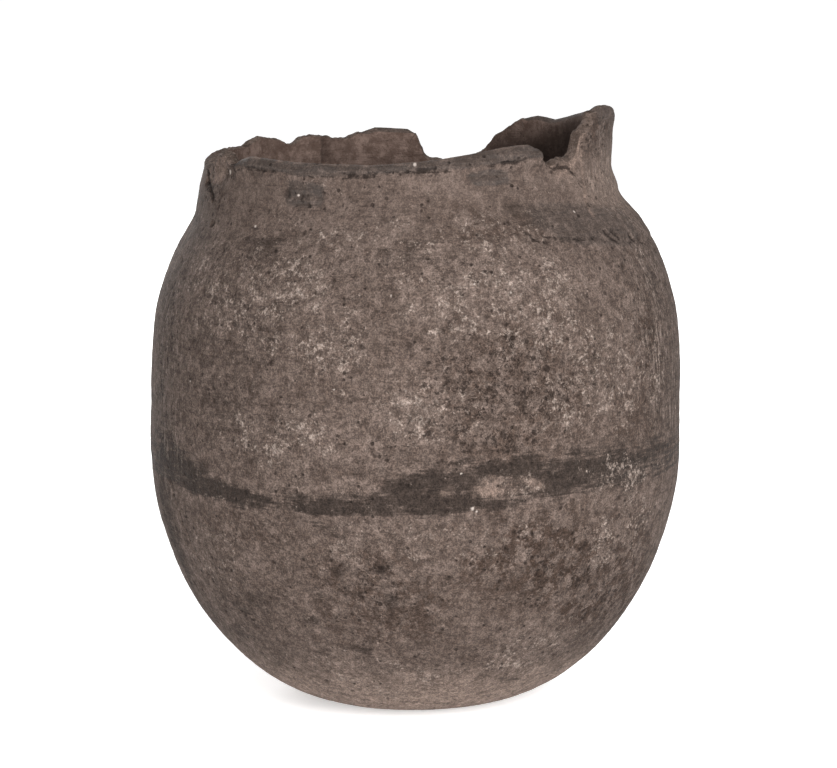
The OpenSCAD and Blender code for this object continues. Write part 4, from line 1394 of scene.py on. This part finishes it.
# %% [markdown]
# ## Floor and light
#
# The jar was photographed on white, in soft light from the front and a little from the right.
# One large lamp would do, but a white room gives the gentle shade in the hollows. So a pale
# world and a faintly glowing floor do most of the work, with a broad key lamp, a low one in
# front and a weaker one behind.

# %% Floor and room
ROOM_LIGHT, FLOOR_GLOW = 0.66, 0.42
bpy.ops.mesh.primitive_plane_add(size=90, location=(0, 35, 0))
floor = bpy.context.object
floor.name = "pale_floor"
mat, t = material("pale_floor")
tone = t.between(t.noise(t.put("TexCoord").outputs["Object"], 3, 2, 0.5), 0, 1, 0.0, 0.5)
pale = t.mix(tone, clay(246, 246, 246), clay(243, 243, 243))
finished(t, pale, 0.9, tone, 0.0001, FLOOR_GLOW)
floor.data.materials.append(mat)

world = bpy.data.worlds.new("white_room")
bpy.context.scene.world = world
world.use_nodes = True
background = world.node_tree.nodes["Background"].inputs
background["Color"].default_value = (1, 1, 1, 1)
background["Strength"].default_value = ROOM_LIGHT
print("Room light %.2f, floor glow %.2f" % (ROOM_LIGHT, FLOOR_GLOW))

# %% Lamps
BELLY, LOW = (0, 0, 0.12), (0, 0, 0.03)   # what a lamp is aimed at, in metres

def lamp(name, place, size, watts, aim):
    """A round soft lamp."""
    data = bpy.data.lights.new(name, "AREA")
    data.energy, data.shape, data.size = watts, "DISK", size
    ob = bpy.data.objects.new(name, data)
    bpy.context.collection.objects.link(ob)
    ob.location = place
    way = np.subtract(aim, place)
    tilt = math.acos(-way[2] / np.linalg.norm(way))
    ob.rotation_euler = (tilt, 0, math.atan2(way[1], way[0]) - math.pi / 2)
    print("%s: %d W" % (name, watts))

lamp("key", (0.95, -2.1, 0.95), 1.1, 69, BELLY)
lamp("low_front", (0.15, -2.3, 0.2), 1.2, 51, LOW)
lamp("behind", (-0.9, 2.2, 0.9), 1.2, 42, BELLY)

# %% [markdown]
# ## Camera
#
# The photograph looks a little down at the jar, with little perspective. Near and wide would
# round the mouth too much, so the camera stands 1.3 m away with a long lens, 8 degrees above the
# level. Aim and focal length put the jar where it stands in the photograph.

# %% Camera
VIEW_MM, VIEW_DOWN, LENS = 1300.0, 8.0, 129.8   # distance, degrees looking down, focal length
AIM_X, AIM_Z = 1.45, 134.18
camera = bpy.data.objects.new("camera", bpy.data.cameras.new("camera"))
bpy.context.collection.objects.link(camera)
camera.data.sensor_width, camera.data.lens = 36, LENS
camera.data.clip_start, camera.data.clip_end = 0.1, 120
back, up = VIEW_MM * cosd(VIEW_DOWN), AIM_Z + VIEW_MM * sind(VIEW_DOWN)
camera.location = (AIM_X * MM, -back * MM, up * MM)
camera.rotation_euler = (math.radians(90 - VIEW_DOWN), 0, 0)
bpy.context.scene.camera = camera
bpy.context.scene.view_settings.view_transform = "Standard"
print("Camera at", [round(float(v), 4) for v in camera.location])
